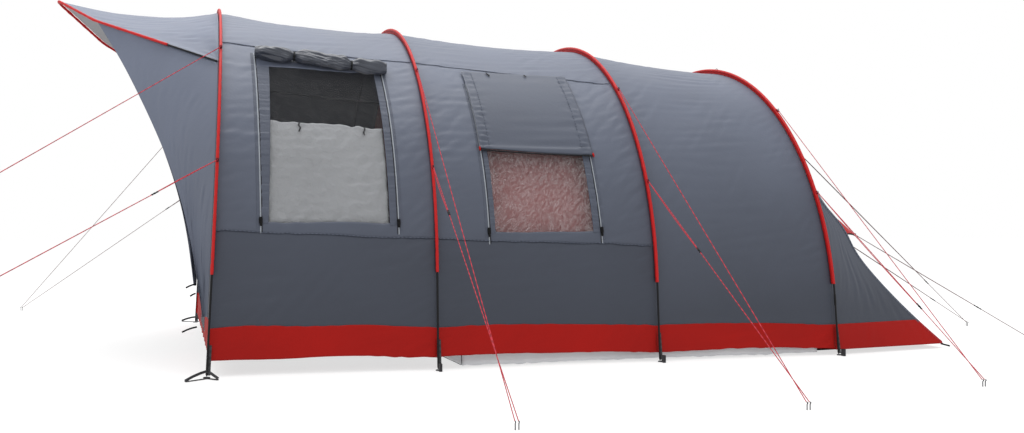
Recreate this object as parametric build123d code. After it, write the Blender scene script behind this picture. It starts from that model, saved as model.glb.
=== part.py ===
from build123d import *
import math
import os

# Tunnel tent on four hoops, pitched. Millimetres. +X runs from the porch to the rear, +Z up.
# The origin is on the ground, in the middle of the tent's footprint box.
# "near" is the side at -Y, with the windows, and "far" is the side at +Y.

# ---- hoops -------------------------------------------------------------------------------
front_x = -1774.1  # foot line of the first hoop
hoop_x = [front_x + d for d in (0.0, 1140.0, 2380.0, 3490.0)]
hoop_height = [2100.0, 2035.0, 1980.0, 1880.0]  # top edge of the pole sleeve
hoop_half_width = [1600.0, 1680.0, 1700.0, 1740.0]  # outer edge of the sleeve line at the ground
hoop_lean = [2.8, 0.6, 0.4, -0.5]  # degrees, crown towards the rear
leg_angle = math.radians(84.8)  # a hoop's straight legs, from the ground
pole_radius = 5.5
pole_bore = 3.6
pole_inset = 8.5  # pole centre line, in from the sleeve's outer edge
pole_foot_z = 14.0
arc_sections = 6
ferrule_radius = 7.0
ferrule_bore = 5.9
ferrule_length = 60.0
sleeve_depth = 33.0  # the sleeve stands this far proud of the fly
sleeve_width = 18.0
sleeve_skin = 1.0
tunnel_depth = 15.0
sleeve_low_z = [500.0, 502.0, 432.0, 407.0]
pin_z, pin_length = 7.0, 45.0  # foot pin inside the pole's end
pin_ring_radius, pin_ring_wire = 15.0, 2.5
pin_ring_out = 13.0  # the ring lies on the ground this far outside the pole
strap_size = (2.0, 150.0, 24.0)
strap_inset, strap_z = 23.0, 6.0
peg_arm, peg_flat, peg_thick = 104.0, 12.0, 4.0  # angle peg that holds a foot, lying on the ground
peg_elbow, peg_tail_out, peg_hook = (4.0, 42.0), 80.0, (46.0, 62.0)  # front pegs: their corner and arms
stub_size, stub_out = (14.0, 26.0, 40.0), 46.0  # the head of the other feet's pegs

# ---- fly sheet ---------------------------------------------------------------------------
cloth = 2.0
seam_gap = sleeve_width / 2 + 0.8  # cloth sewn to the side of a sleeve starts this far from the hoop plane
fly_inset = sleeve_depth
saddle = 22.0  # how much the fly dips between two hoops
hem_z, hem_slope = 76.0, -0.0125  # height at the first hoop, and change per mm of X
band_z, band_slope = 234.0, -0.0175  # top of the mud flap band
low_seam_z, low_seam_slope = 713.0, -0.034  # seam under the windows
top_seam_z, top_seam_slope = 1755.0, -0.060  # seam over the windows

# ---- windows -----------------------------------------------------------------------------
window_x = [(front_x + 300.0, front_x + 915.0), (front_x + 1480.0, front_x + 2041.0)]
window_z = [(760.0, 1610.0), (712.0, 1560.0)]
zip_x = [(front_x + 262.0, front_x + 960.0), (front_x + 1444.0, front_x + 2088.0)]
zip_z = [(700.0, 1700.0), (645.0, 1560.0)]
zip_width = 9.0
zip_height = 2.0
film = 1.0
slider_size = (15.0, 8.0, 36.0)
slider_z = [755.0, 705.0]
slider_gap = 0.6  # between a slider and its zip
slider_clear = 62.0  # a slider stops this far under the blind
curtain_top_z = 1285.0
curtain_gap = 16.0
roll_radius = 40.0
roll_drop = 78.0  # the rolled blind's middle, under the top seam
roll_gap = 7.0
roll_x = (front_x + 258.0, front_x + 980.0)
flap_x = (front_x + 1440.0, front_x + 2098.0)
flap_z = (1140.0, 1632.0)
flap_gap = 13.0

# ---- porch -------------------------------------------------------------------------------
visor_root = (front_x + 60.0, 1102.0, 1625.0)  # where the visor pole meets the first hoop
visor_knee = (front_x - 600.0, 400.0, 1935.0)
visor_tip = (front_x - 858.0, 0.0, 2128.0)
visor_radius = 4.5
visor_sleeve_radius = 11.0
visor_bends = [420.0, 120.0, 420.0]
visor_bare = 190.0  # the visor pole is bare up to this far in front of the first hoop
canopy_inset = 27.0
canopy_columns = 25
canopy_aim = 300.0  # the canopy leaves the visor pole towards this far behind the first hoop
canopy_edge = 16.0  # from the visor pole's line to the canopy's edge
wall_ahead = 12.0  # the front wall stands this far behind the first hoop's plane
wall_gap = 6.0
wall_low = 70.0
door_rise = 0.45  # rise of the door's arched top, as a share of its half width
door_half_width = 430.0
door_top = 1640.0
door_low = 110.0
door_gap = 2.0

# ---- rear and inner tent -----------------------------------------------------------------
rear_corner = (front_x + 4330.0, 1600.0)
rear_bow = 60.0
ridge_z = 950.0
ridge_levels = [24.0, 130.0, 240.0, 360.0, 460.0, 540.0, 600.0, 660.0, 720.0, 780.0, 840.0, 900.0]
rear_hem_z = 26.0
rear_corner_gap = 12.0  # between the rear panel and the corner panels
rear_columns, rear_rows = 17, 17
ridge_sag = 65.0  # the ridges from the rear hoop to the corners curve in this much
rear_sag = 35.0
hood_pull, hood_pull_z, hood_pull_width = 45.0, 735.0, 130.0  # the hoods' lines pull the ridges out here
canopy_sag = 43.0
wing_sag = 18.0
wing_inset = 4.0  # the wings are sewn this far inside the fly
wing_far_pull = 0.12  # the far wing reaches out this share less
wing_hoop_z = [290.0, 640.0, 960.0, 1290.0, 1480.0, 1600.0]
wing_free_edge = [  # out from the first hoop's foot line, half width, height
    (18.0, 1505.0, 290.0),
    (70.0, 1385.0, 640.0),
    (178.0, 1090.0, 1060.0),
    (350.0, 750.0, 1480.0),
    (498.0, 505.0, 1770.0),
    (588.0, 406.0, 1912.0),
]
inner_front_x = front_x + 1300.0
inner_gap = 130.0
inner_rear_x = hoop_x[3] - 60.0
inner_low = 6.0
doorway_size, doorway_mid_z = (1100.0, 1400.0), 860.0
floor_thick, floor_margin, floor_taper = 3.0, 20.0, 60.0
floor_rear_x = front_x + 4120.0
hood_share, hood_spread = 0.80, 0.062  # a hood's middle and half width, as shares of the panel's half width
hood_top_z, hood_low_z, hood_reach, hood_gap = 850.0, 690.0, 88.0, 5.0


# ---- guy lines ---------------------------------------------------------------------------
line_radius = 2.0
ring_radius, ring_wire = 8.0, 1.6
ring_gap = 0.3
peg_radius = 2.5
peg_height = 34.0
runner_size = (46.0, 14.0, 8.0)
runner_bore = 2.6
low_clip_z = [1072.0, 1053.0, 995.0, 942.0]
high_clip_z = [1713.0, 1629.0, 1569.0, 1476.0]
peg_out = [(0.0, 0.0), (front_x + 1031.0, 3315.0), (front_x + 2272.0, 3272.0), (front_x + 3401.0, 2973.0)]
front_high_peg = (front_x - 2000.0, 3400.0)
front_low_peg = (front_x - 1600.0, 3550.0)
front_far_peg = (front_x - 1450.0, 3300.0)
rear_peg = (front_x + 5490.0, 470.0)
hood_peg = (front_x + 4650.0, 2100.0)
runner_share = [0.173, 0.24, 0.387, 0.665]  # how far down its line each low runner sits
pair_shift = 7.0  # two lines pegged at one place have their pegs this far to each side of it
rear_high_ring = (hoop_x[3] + 3.5, 300.0, hoop_height[3] - 30.0)
rear_low_ring = (front_x + 3951.0, 470.0, 906.0)
rear_shares = [0.833, 0.80, 0.65]
peg_tie = 6.0  # the line is tied this far under the peg's top


big = (16000.0, 16000.0, 16000.0)  # cutting blocks, larger than the tent


# ---- helpers -----------------------------------------------------------------------------
def save(name, solids):
    """Write one node: a single solid, or a group of separate solids."""
    parts = [s for item in solids for s in item.solids()]
    shape = parts[0] if len(parts) == 1 else Compound(children=parts)
    export_step(shape, os.path.join("parts", name + ".step"))


def hoop_plane(x, lean):
    """Plane of a hoop: local x across the tent, local y up the leaning hoop."""
    a = math.radians(lean)
    return Plane(origin=(x, 0, 0), x_dir=(0, 1, 0), z_dir=(math.cos(a), 0, -math.sin(a)))


def arch_radius(half_width, height):
    """Radius of the crown arc that is tangent to both straight legs."""
    c, s = math.cos(leg_angle), math.sin(leg_angle)
    return (height * c - half_width * s) / (c * (1 - c) - s * s)


def arch_points(half_width, height, inset, foot):
    """Foot, shoulder and crown of one arch line, in its plane, for local x > 0."""
    r = arch_radius(half_width, height)
    centre = height - r
    r -= inset
    shoulder = (r * math.sin(leg_angle), centre + r * math.cos(leg_angle))
    down = (shoulder[1] - foot) / math.sin(leg_angle)
    return (shoulder[0] + down * math.cos(leg_angle), foot), shoulder, (0.0, height - inset)


def mirror_point(p):
    return (-p[0], p[1])


def arch_band(half_width, height, inset, thick, foot):
    """Closed face between two arch lines, in local coordinates."""
    f, s, c = arch_points(half_width, height, inset, foot)
    g, t, d = arch_points(half_width, height, inset + thick, foot)
    edges = [
        Line(f, s),
        ThreePointArc(s, c, mirror_point(s)),
        Line(mirror_point(s), mirror_point(f)),
        Line(mirror_point(f), mirror_point(g)),
        Line(mirror_point(g), mirror_point(t)),
        ThreePointArc(mirror_point(t), d, t),
        Line(t, g),
        Line(g, f),
    ]
    return Face(Wire([e.edge() if hasattr(e, "edge") else e for e in edges]))


def arch_face(half_width, height, inset, foot):
    """Closed face under one arch line, in local coordinates."""
    f, s, c = arch_points(half_width, height, inset, foot)
    edges = [
        Line(f, s),
        ThreePointArc(s, c, mirror_point(s)),
        Line(mirror_point(s), mirror_point(f)),
        Line(mirror_point(f), f),
    ]
    return Face(Wire([e.edge() for e in edges]))


def hoop_point(i, height_z, inset=0.0, side=1):
    """Point of hoop i's line at a height, on the side +1 (far) or -1 (near)."""
    w, h = hoop_half_width[i], hoop_height[i]
    lean = math.radians(hoop_lean[i])
    up = height_z / math.cos(lean)
    f, s, c = arch_points(w, h, inset, 0.0)
    if up <= s[1]:
        across = s[0] + (s[1] - up) / math.tan(leg_angle)
    else:
        r = arch_radius(w, h)
        across = math.sqrt(max((r - inset) ** 2 - (up - (h - r)) ** 2, 0.0))
    return (hoop_x[i] + up * math.sin(lean), side * across, height_z)


def arch_at(i, inset, low_z, share, out):
    """Point of hoop i's arc, share -1 to 1 from its near to its far point at low_z, shifted along X."""
    w, h = hoop_half_width[i], hoop_height[i]
    lean = math.radians(hoop_lean[i])
    r = arch_radius(w, h) - inset
    centre = h - inset - r
    angle = share * math.acos((low_z / math.cos(lean) - centre) / r)
    up = centre + r * math.cos(angle)
    return (hoop_x[i] + out + up * math.sin(lean), r * math.sin(angle), up * math.cos(lean))


def rear_ridge(z, side):
    """Point of the ridge from the rear hoop down to a rear corner, at a height."""
    top = hoop_point(3, ridge_z, fly_inset, side)
    t = (ridge_z - z) / (ridge_z - ridge_levels[0])
    dip = 4 * t * (1 - t)
    start = top[0] + seam_gap + cloth
    x = start + (rear_corner[0] - start) * t - ridge_sag * dip + pulled(z)
    return (x, top[1] + (side * rear_corner[1] - top[1]) * t - side * 0.5 * ridge_sag * dip, z)


def pulled(z):
    """How far a ridge stands out at a height, from the pull of its hood's line."""
    return hood_pull * math.exp(-((z - hood_pull_z) / hood_pull_width) ** 2)


def rear_point(a, t):
    """Point of the sloping rear panel: a from -1 near to 1 far, t from 0 at the hoop to 1 at the hem."""
    top = Vector(*arch_at(3, fly_inset, ridge_z + rear_corner_gap, a, seam_gap))
    hem_x = rear_corner[0] + rear_bow * (1 - a * a)
    hem = Vector(hem_x, (rear_corner[1] - rear_corner_gap) * a, rear_hem_z)
    side_sag = ridge_sag * a * a
    mid_sag = rear_sag * (1 - a * a)
    dip = 4 * t * (1 - t)
    flat = top * (1 - t) + hem * t
    sag = Vector(-side_sag - mid_sag, -0.5 * side_sag * a, -mid_sag) * dip
    return flat + sag + Vector(pulled(flat.Z) * a ** 4, 0, 0)


def rear_at(a, z):
    """Point of the rear panel at a height."""
    low, high = 0.0, 1.0
    for _ in range(30):
        mid = (low + high) / 2
        if rear_point(a, mid).Z > z:
            low = mid
        else:
            high = mid
    return rear_point(a, low)


def slope_at(z, slope, x):
    return z + slope * (x - front_x)


def above(z, slope):
    """A large block whose lower face is the tilted plane z at the first hoop."""
    block = Box(*big, align=(Align.CENTER, Align.CENTER, Align.MIN))
    return Pos(front_x, 0, z) * Rot(0, -math.degrees(math.atan(slope)), 0) * block


def window_block(x_range, z_range, y_range=(-2200.0, -200.0)):
    """A block through the near wall."""
    low = (x_range[0], y_range[0], z_range[0])
    return Pos(*low) * Box(
        x_range[1] - x_range[0], y_range[1] - y_range[0], z_range[1] - z_range[0],
        align=(Align.MIN, Align.MIN, Align.MIN))


def bay_shell(i, inset, thick, foot=30.0):
    """Thin shell of the fly between hoops i and i+1, dipping in the middle."""
    def section(x, w, h, lean, extra):
        return hoop_plane(x, lean) * arch_band(w, h, inset + extra, thick, foot)
    mid = [0.5 * (v[i] + v[i + 1]) for v in (hoop_x, hoop_half_width, hoop_height, hoop_lean)]
    faces = [
        section(hoop_x[i], hoop_half_width[i], hoop_height[i], hoop_lean[i], 0.0),
        section(mid[0], mid[1], mid[2], mid[3], saddle),
        section(hoop_x[i + 1], hoop_half_width[i + 1], hoop_height[i + 1], hoop_lean[i + 1], 0.0),
    ]
    return Solid.make_loft([f.outer_wire() for f in faces])


def tube_on(edge, outer, inner=0.0):
    """Round bar or tube swept along one edge."""
    ring = Circle(outer) - Circle(inner) if inner else Circle(outer)
    return sweep(Plane(origin=edge @ 0, z_dir=edge % 0) * ring, path=edge)


def rod(start, end, radius, bore=0.0):
    """Straight bar or tube between two points."""
    a, b = Vector(start), Vector(end)
    base = Plane(origin=a, z_dir=b - a)
    ring = Circle(radius) - Circle(bore) if bore else Circle(radius)
    return extrude(base * ring, (b - a).length)


def ring(centre, normal, radius, wire):
    return Plane(origin=centre, z_dir=normal) * Torus(radius, wire)


def sheet_between(curve_a, curve_b, thickness, sags=None, rows=7):
    """Thin solid between two lists of points, thickened along a vector. Halfway, each column sags."""
    sags = sags or [(0.0, 0.0, 0.0)] * len(curve_a)
    grid = []
    for k in range(rows):
        t = k / (rows - 1)
        dip = 4 * t * (1 - t)
        grid.append([Vector(a) * (1 - t) + Vector(b) * t + Vector(c) * dip
                     for a, b, c in zip(curve_a, curve_b, sags)])
    return sheet_on(grid, thickness)


def sheet_on(grid, thickness, tol=0.5, degree=5):
    """Thin solid on a smooth surface through a grid of points, thickened along a vector."""
    face = Face.make_surface_from_array_of_points(grid, tol=tol, max_deg=degree)
    return Solid.extrude(face, Vector(*thickness))


# ---- poles -------------------------------------------------------------------------------
def pole_joints(i):
    """Centre-line edges of one hoop's pole sections, and (point, direction) of their joints."""
    w, h = hoop_half_width[i], hoop_height[i]
    place = hoop_plane(hoop_x[i], hoop_lean[i])
    f, s, c = arch_points(w, h, pole_inset, pole_foot_z)
    r = arch_radius(w, h)
    centre, r = h - r, r - pole_inset
    top = math.pi / 2 - leg_angle
    half = math.pi / 2 - top
    steps = [half - 2 * half * k / arc_sections for k in range(arc_sections + 1)]
    def at(a):
        return (r * math.sin(a), centre + r * math.cos(a))
    edges = [place * Line(f, at(steps[0])).edge()]
    for a, b in zip(steps, steps[1:]):
        edges.append(place * ThreePointArc(at(a), at((a + b) / 2), at(b)).edge())
    edges.append(place * Line(at(steps[-1]), mirror_point(f)).edge())
    joints = [(e @ 1, e % 1) for e in edges[:-1]]
    return edges, joints


def make_poles():
    ferrules = []
    for i in range(4):
        edges, joints = pole_joints(i)
        save(f"hoop_pole_{i + 1}", [tube_on(e, pole_radius, pole_bore) for e in edges])
        for p, d in joints:
            half = d * (ferrule_length / 2)
            ferrules.append(rod(p - half, p + half, ferrule_radius, ferrule_bore))
    save("pole_ferrules", ferrules)


def make_sleeves():
    for i in range(4):
        w, h, foot = hoop_half_width[i], hoop_height[i], sleeve_low_z[i]
        outer = arch_band(w, h, 0.0, sleeve_depth - 0.3, foot)
        tunnel = arch_band(w, h, sleeve_skin, tunnel_depth, foot - 1.0)
        place = hoop_plane(hoop_x[i], hoop_lean[i])
        body = extrude(outer, sleeve_width / 2, both=True)
        body -= extrude(tunnel, sleeve_width / 2 - sleeve_skin, both=True)
        save(f"hoop_sleeve_{i + 1}", [place * body])


def make_feet():
    pins, straps, pegs = [], [], []
    for i in range(4):
        w, h = hoop_half_width[i], hoop_height[i]
        place = hoop_plane(hoop_x[i], hoop_lean[i])
        for side in (1, -1):
            foot_x = arch_points(w, h, pole_inset, pin_z)[0][0]
            up = Vector(-math.cos(leg_angle) * side, math.sin(leg_angle), 0)
            foot = Vector(foot_x * side, pin_z, 0)
            pins.append(place * rod(foot, foot + up * pin_length, pole_bore - 0.1))
            base = place.from_local_coords(foot)
            eye = (base.X, base.Y + pin_ring_out * side, pin_ring_wire + 0.1)
            pins.append(ring(eye, (0, 0, 1), pin_ring_radius, pin_ring_wire))
            strap_x = arch_points(w, h, strap_inset, strap_z)[0][0]
            bar = Box(*strap_size, align=(Align.CENTER, Align.MIN, Align.CENTER))
            tilt = math.degrees(math.pi / 2 - leg_angle) * side
            straps.append(place * (Pos(strap_x * side, strap_z, 0) * Rot(0, 0, tilt) * bar))
            if i > 0:
                stub = Box(*stub_size, align=(Align.CENTER, Align.CENTER, Align.MIN))
                pegs.append(Pos(base.X, base.Y + side * stub_out, 0) * stub)
                continue
            elbow = (base.X + peg_elbow[0], base.Y + side * peg_elbow[1])
            tail = (elbow[0] - peg_arm, elbow[1] + side * peg_tail_out)
            hook = (elbow[0] + peg_hook[0], elbow[1] + side * peg_hook[1])
            outline = Polyline(tail, elbow, hook)
            pegs.append(extrude(trace(outline, peg_flat), peg_thick))
    save("foot_pins", pins)
    save("foot_straps", straps)
    save("foot_pegs", pegs)


# ---- fly ---------------------------------------------------------------------------------
def make_fly():
    top = above(top_seam_z, top_seam_slope)
    low = above(low_seam_z, low_seam_slope)
    band = above(band_z, band_slope)
    hem = above(hem_z, hem_slope)
    near_half = Box(*big, align=(Align.CENTER, Align.MAX, Align.CENTER))
    films, flaps_near, flaps_far, walls_near, walls_far = [], [], [], [], []
    for i in range(3):
        shell = bay_shell(i, fly_inset, cloth)
        skirt = (shell & hem) - band
        flaps_near.append(skirt & near_half)
        flaps_far.append(skirt - near_half)
        body = shell & band
        if i == 2:
            save("fly_bay_3", [body])
            continue
        save(f"fly_roof_{i + 1}", [body & top])
        walls = (body & low) - top
        lower = body - low
        hole = window_block(window_x[i], window_z[i])
        near = walls & near_half
        save(f"fly_side_near_{i + 1}", [near - hole])
        save(f"fly_side_far_{i + 1}", [walls - near_half])
        films.append(bay_shell(i, fly_inset + 0.5, film) & hole)
        walls_near.append(lower & near_half)
        walls_far.append(lower - near_half)
    save("lower_wall_near", walls_near)
    save("lower_wall_far", walls_far)
    save("window_films", films)
    corner_panels = []
    for side in (-1, 1):
        legs = [hoop_point(3, z, fly_inset, side) for z in ridge_levels]
        legs = [(p[0] + 0.5, p[1], p[2]) for p in legs]
        panel = sheet_between(legs, [rear_ridge(z, side) for z in ridge_levels], (0, -side * cloth, 0))
        (flaps_near if side < 0 else flaps_far).append(panel - band)
        corner_panels.append(panel & band)
    save("rear_corner_panels", corner_panels)
    steps = [-1 + 2 * k / (rear_columns - 1) for k in range(rear_columns)]
    levels = [k / (rear_rows - 1) for k in range(rear_rows)]
    grid = [[rear_point(a, t) for a in steps] for t in levels]
    rear = sheet_on(grid, (-0.6 * cloth, 0, -cloth), tol=0.1, degree=3)
    save("rear_panel", [rear & band])
    save("mud_flap_rear", [rear - band])
    save("mud_flap_near", flaps_near)
    save("mud_flap_far", flaps_far)


# ---- windows -----------------------------------------------------------------------------
def wall_point(i, x, z, out):
    """Point standing out from the near wall of bay i."""
    before, after = [hoop_x[k] + z * math.tan(math.radians(hoop_lean[k])) for k in (i, i + 1)]
    u = (x - before) / (after - before)
    w, h, lean = [v[i] + u * (v[i + 1] - v[i]) for v in (hoop_half_width, hoop_height, hoop_lean)]
    r = arch_radius(w, h)
    up = z / math.cos(math.radians(lean)) - (h - r)
    r -= fly_inset + saddle * 4 * u * (1 - u) - out
    return Vector(x, -math.sqrt(r * r - up * up), z)


def slider_arc(i, x):
    """Centre (y, z) and radius of the arc a zip slider follows, through three points of its zip."""
    stand = zip_height + slider_gap + slider_size[1] / 2
    low, high = slider_z[i], slider_top(i, x)
    a, b, c = [wall_point(i, x, z, stand) for z in (low, 0.5 * (low + high), high)]
    k1 = ((b.Y ** 2 + b.Z ** 2) - (a.Y ** 2 + a.Z ** 2)) / 2
    k2 = ((c.Y ** 2 + c.Z ** 2) - (b.Y ** 2 + b.Z ** 2)) / 2
    det = (b.Y - a.Y) * (c.Z - b.Z) - (c.Y - b.Y) * (b.Z - a.Z)
    y = (k1 * (c.Z - b.Z) - k2 * (b.Z - a.Z)) / det
    z = ((b.Y - a.Y) * k2 - (c.Y - b.Y) * k1) / det
    return y, z, math.hypot(a.Y - y, a.Z - z)


def roll_z(x):
    """Height of the rolled blind's middle, just under the top seam."""
    return slope_at(top_seam_z, top_seam_slope, x) - roll_drop


def slider_top(i, x):
    """Highest place of a slider's middle: under the rolled blind, or under the hanging flap."""
    return roll_z(x) - slider_clear if i == 0 else flap_z[0] - slider_clear


def make_windows():
    zips = []
    for i in range(2):
        skin = bay_shell(i, fly_inset - zip_height, zip_height)
        for x in zip_x[i]:
            zips.append(skin & window_block((x - zip_width / 2, x + zip_width / 2), zip_z[i]))
        for name, x in zip(("front", "rear"), zip_x[i]):
            y, z, r = slider_arc(i, x)
            angle = math.asin((slider_z[i] - z) / r)
            body = Box(slider_size[0], slider_size[1], slider_size[2])
            place = Pos(x, y - r * math.cos(angle), slider_z[i]) * Rot(-math.degrees(angle), 0, 0)
            save(f"zip_slider_{i + 1}_{name}", [place * body])
    save("window_zips", zips)
    curtain = bay_shell(0, fly_inset + curtain_gap, film)
    save("window_curtain", [curtain & window_block(window_x[0], (window_z[0][0], curtain_top_z))])
    ends = []
    for x in roll_x:
        ends.append(wall_point(0, x, roll_z(x), roll_radius + roll_gap))
    save("blind_roll", [rod(ends[0], ends[1], roll_radius)])
    flap = bay_shell(1, fly_inset - flap_gap, cloth)
    save("blind_flap", [flap & window_block(flap_x, flap_z)])


# ---- porch -------------------------------------------------------------------------------
def canopy_front(path):
    """Points of the canopy's front edge, just inside the visor pole's sleeve."""
    points = []
    for k in range(canopy_columns):
        p = path @ (k / (canopy_columns - 1))
        inward = (Vector(front_x + canopy_aim, 0, p.Z) - p).normalized() * canopy_edge
        points.append((p.X + inward.X, p.Y + inward.Y, p.Z - cloth))
    return points


def make_porch():
    root, knee, tip = visor_root, visor_knee, visor_tip
    corners = [(root[0], -root[1], root[2]), (knee[0], -knee[1], knee[2]), tip, knee, root]
    path = FilletPolyline(*corners, radius=visor_bends)
    edges = list(path.edges())
    save("visor_pole", [tube_on(e, visor_radius) for e in edges])
    sleeve = [tube_on(e, visor_sleeve_radius, visor_radius + 1.0) for e in edges]
    front = Pos(front_x - visor_bare, 0, 0) * Box(*big, align=(Align.MAX, Align.CENTER, Align.CENTER))
    save("visor_sleeve", [s & front for s in sleeve])
    front_edge = canopy_front(path)
    shares = [k / (canopy_columns - 1) for k in range(canopy_columns)]
    arch = [arch_at(0, canopy_inset, root[2], 2 * t - 1, -seam_gap) for t in shares]
    sags = [(0, 0, -canopy_sag * math.sin(math.pi * t)) for t in shares]
    save("visor_canopy", [sheet_between(arch, front_edge, (0, 0, -cloth), sags)])
    for name, side, reach in (("near", -1, 0.0), ("far", 1, wing_far_pull)):
        hoop_edge, free_edge = [], []
        for hoop_z, (out, across, free_z) in zip(wing_hoop_z, wing_free_edge):
            p = hoop_point(0, hoop_z, fly_inset + wing_inset, side)
            hoop_edge.append((p[0] - seam_gap, p[1], p[2]))
            free_edge.append((front_x - out * (1 - reach), side * across, free_z))
        sags = [(0, -side * wing_sag, 0)] * len(wing_hoop_z)
        save(f"wing_{name}", [sheet_between(hoop_edge, free_edge, (0, -side * cloth, 0), sags)])
    place = hoop_plane(hoop_x[0] + wall_ahead, hoop_lean[0])
    wall = arch_face(hoop_half_width[0], hoop_height[0], fly_inset + wall_gap, wall_low)
    w, arc_z = door_half_width, door_top - door_half_width * door_rise
    def door_face(gap):
        a = w - gap
        outline = [
            Line((-a, door_low + gap), (a, door_low + gap)),
            Line((a, door_low + gap), (a, arc_z)),
            ThreePointArc((a, arc_z), (0, door_top - gap), (-a, arc_z)),
            Line((-a, arc_z), (-a, door_low + gap)),
        ]
        return Face(Wire([e.edge() for e in outline]))
    save("front_wall", [place * extrude(wall - door_face(0.0), cloth)])
    save("door_panel", [place * extrude(door_face(door_gap), cloth)])


# ---- inside and rear ---------------------------------------------------------------------
def make_inner_tent():
    def section(x, i, inset):
        return hoop_plane(x, 0.0) * arch_band(hoop_half_width[i], hoop_height[i], inset, cloth, inner_low)
    faces = [section(inner_front_x, 1, inner_gap), section(hoop_x[2], 2, inner_gap),
             section(inner_rear_x, 3, inner_gap)]
    save("inner_tent_body", [Solid.make_loft([f.outer_wire() for f in faces], ruled=True)])
    wall = arch_face(hoop_half_width[1], hoop_height[1], inner_gap, inner_low)
    doorway = Pos(0, doorway_mid_z) * Rectangle(*doorway_size)
    front = hoop_plane(inner_front_x - cloth - 0.5, 0.0) * extrude(wall - doorway, cloth)
    save("inner_tent_front", [front])
    half = hoop_half_width[1] - inner_gap - floor_margin
    narrow = half - floor_taper
    outline = [(inner_front_x, -half), (hoop_x[3], -half), (floor_rear_x, -narrow),
               (floor_rear_x, narrow), (hoop_x[3], half), (inner_front_x, half)]
    save("groundsheet", [extrude(make_face(Polyline(*outline, close=True)), floor_thick)])


def hood_tip(side):
    return rear_at(side * hood_share, hood_low_z) + Vector(hood_reach, 0, 0)


def make_hoods():
    """Each hood is two sloping panels sewn to the rear panel, meeting in a ridge that stands out."""
    hoods, off = [], Vector(hood_gap, 0, hood_gap / 2)
    for side in (-1, 1):
        middle = side * hood_share
        top = rear_at(middle, hood_top_z) + off
        for turn in (-1, 1):
            corner = rear_at(middle + turn * hood_spread, hood_low_z) + off
            beside = rear_at(middle + turn * hood_spread * 0.12, hood_top_z - 12.0) + off
            hoods.append(sheet_between([top, hood_tip(side)], [beside, corner], (cloth / 2, 0, cloth)))
    save("vent_hoods", hoods)


# ---- guy lines ---------------------------------------------------------------------------
def guy(start, peg, loops):
    """One taut line from the ring centred on start to the hook of its peg. Also adds the ring."""
    a, b = Vector(*start), Vector(peg[0], peg[1], peg_height - peg_tie)
    run = (b - a).normalized()
    loops.append(ring(a, run.cross(Vector(0, 0, 1)).normalized(), ring_radius, ring_wire))
    first = a + run * (ring_radius + ring_wire + ring_gap)
    last = b - run * (2 * peg_radius + ring_gap)
    return rod(first, last, line_radius), first, last


def runner(first, last, share):
    """Line adjuster: a small bar that the line runs through."""
    run = last - first
    place = Plane(origin=first + run * share, z_dir=run)
    length, wide, thick = runner_size
    return place * (Box(thick, wide, length) - Cylinder(runner_bore, length + 2.0))


def make_guys():
    loops, pegs, fixed_runners, far_lines, rear_lines = [], [], [], [], []
    def add_peg(p):
        pegs.append(rod((p[0], p[1], 0.0), (p[0], p[1], peg_height), peg_radius))
    for i in range(4):
        for name, side in (("near", -1), ("far", 1)):
            off = -(ring_radius + ring_wire + ring_gap)
            high = hoop_point(i, high_clip_z[i], off, side)
            low = hoop_point(i, low_clip_z[i], off, side)
            pegs_here = [peg_out[i], peg_out[i]]
            if i == 0:
                pegs_here = [front_high_peg, front_low_peg] if side < 0 else [front_far_peg, front_far_peg]
            ends = [(p[0], side * p[1]) for p in pegs_here]
            shift = pair_shift if ends[0] == ends[1] else 0.0
            ends[0] = (ends[0][0] - shift, ends[0][1])
            ends[1] = (ends[1][0] + shift, ends[1][1])
            lines = []
            for start, end, takes_runner in ((high, ends[0], False), (low, ends[1], True)):
                line, first, last = guy(start, end, loops)
                lines.append(line)
                add_peg(end)
                if not takes_runner:
                    continue
                bar = runner(first, last, runner_share[i])
                if side < 0:
                    save(f"runner_near_{i + 1}", [bar])
                else:
                    fixed_runners.append(bar)
            if side < 0:
                save(f"guys_near_{i + 1}", lines)
            else:
                far_lines += lines
    for side in (-1, 1):
        tip = hood_tip(1)
        starts = [rear_high_ring, rear_low_ring, (tip.X + ring_radius + ring_wire + 2.0, tip.Y, tip.Z)]
        ends = [(rear_peg[0], rear_peg[1] - pair_shift), (rear_peg[0], rear_peg[1] + pair_shift), hood_peg]
        for start, end, share in zip(starts, ends, rear_shares):
            start, end = (start[0], side * start[1], start[2]), (end[0], side * end[1])
            line, first, last = guy(start, end, loops)
            rear_lines.append(line)
            fixed_runners.append(runner(first, last, share))
            add_peg(end)
    save("guys_far", far_lines)
    save("guys_rear", rear_lines)
    save("guy_loops", loops)
    save("guy_pegs", pegs)
    save("runners_fixed", fixed_runners)


def main():
    os.makedirs("parts", exist_ok=True)
    make_poles()
    make_sleeves()
    make_feet()
    make_fly()
    make_windows()
    make_porch()
    make_inner_tent()
    make_hoods()
    make_guys()


if __name__ == "__main__":
    main()
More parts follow.
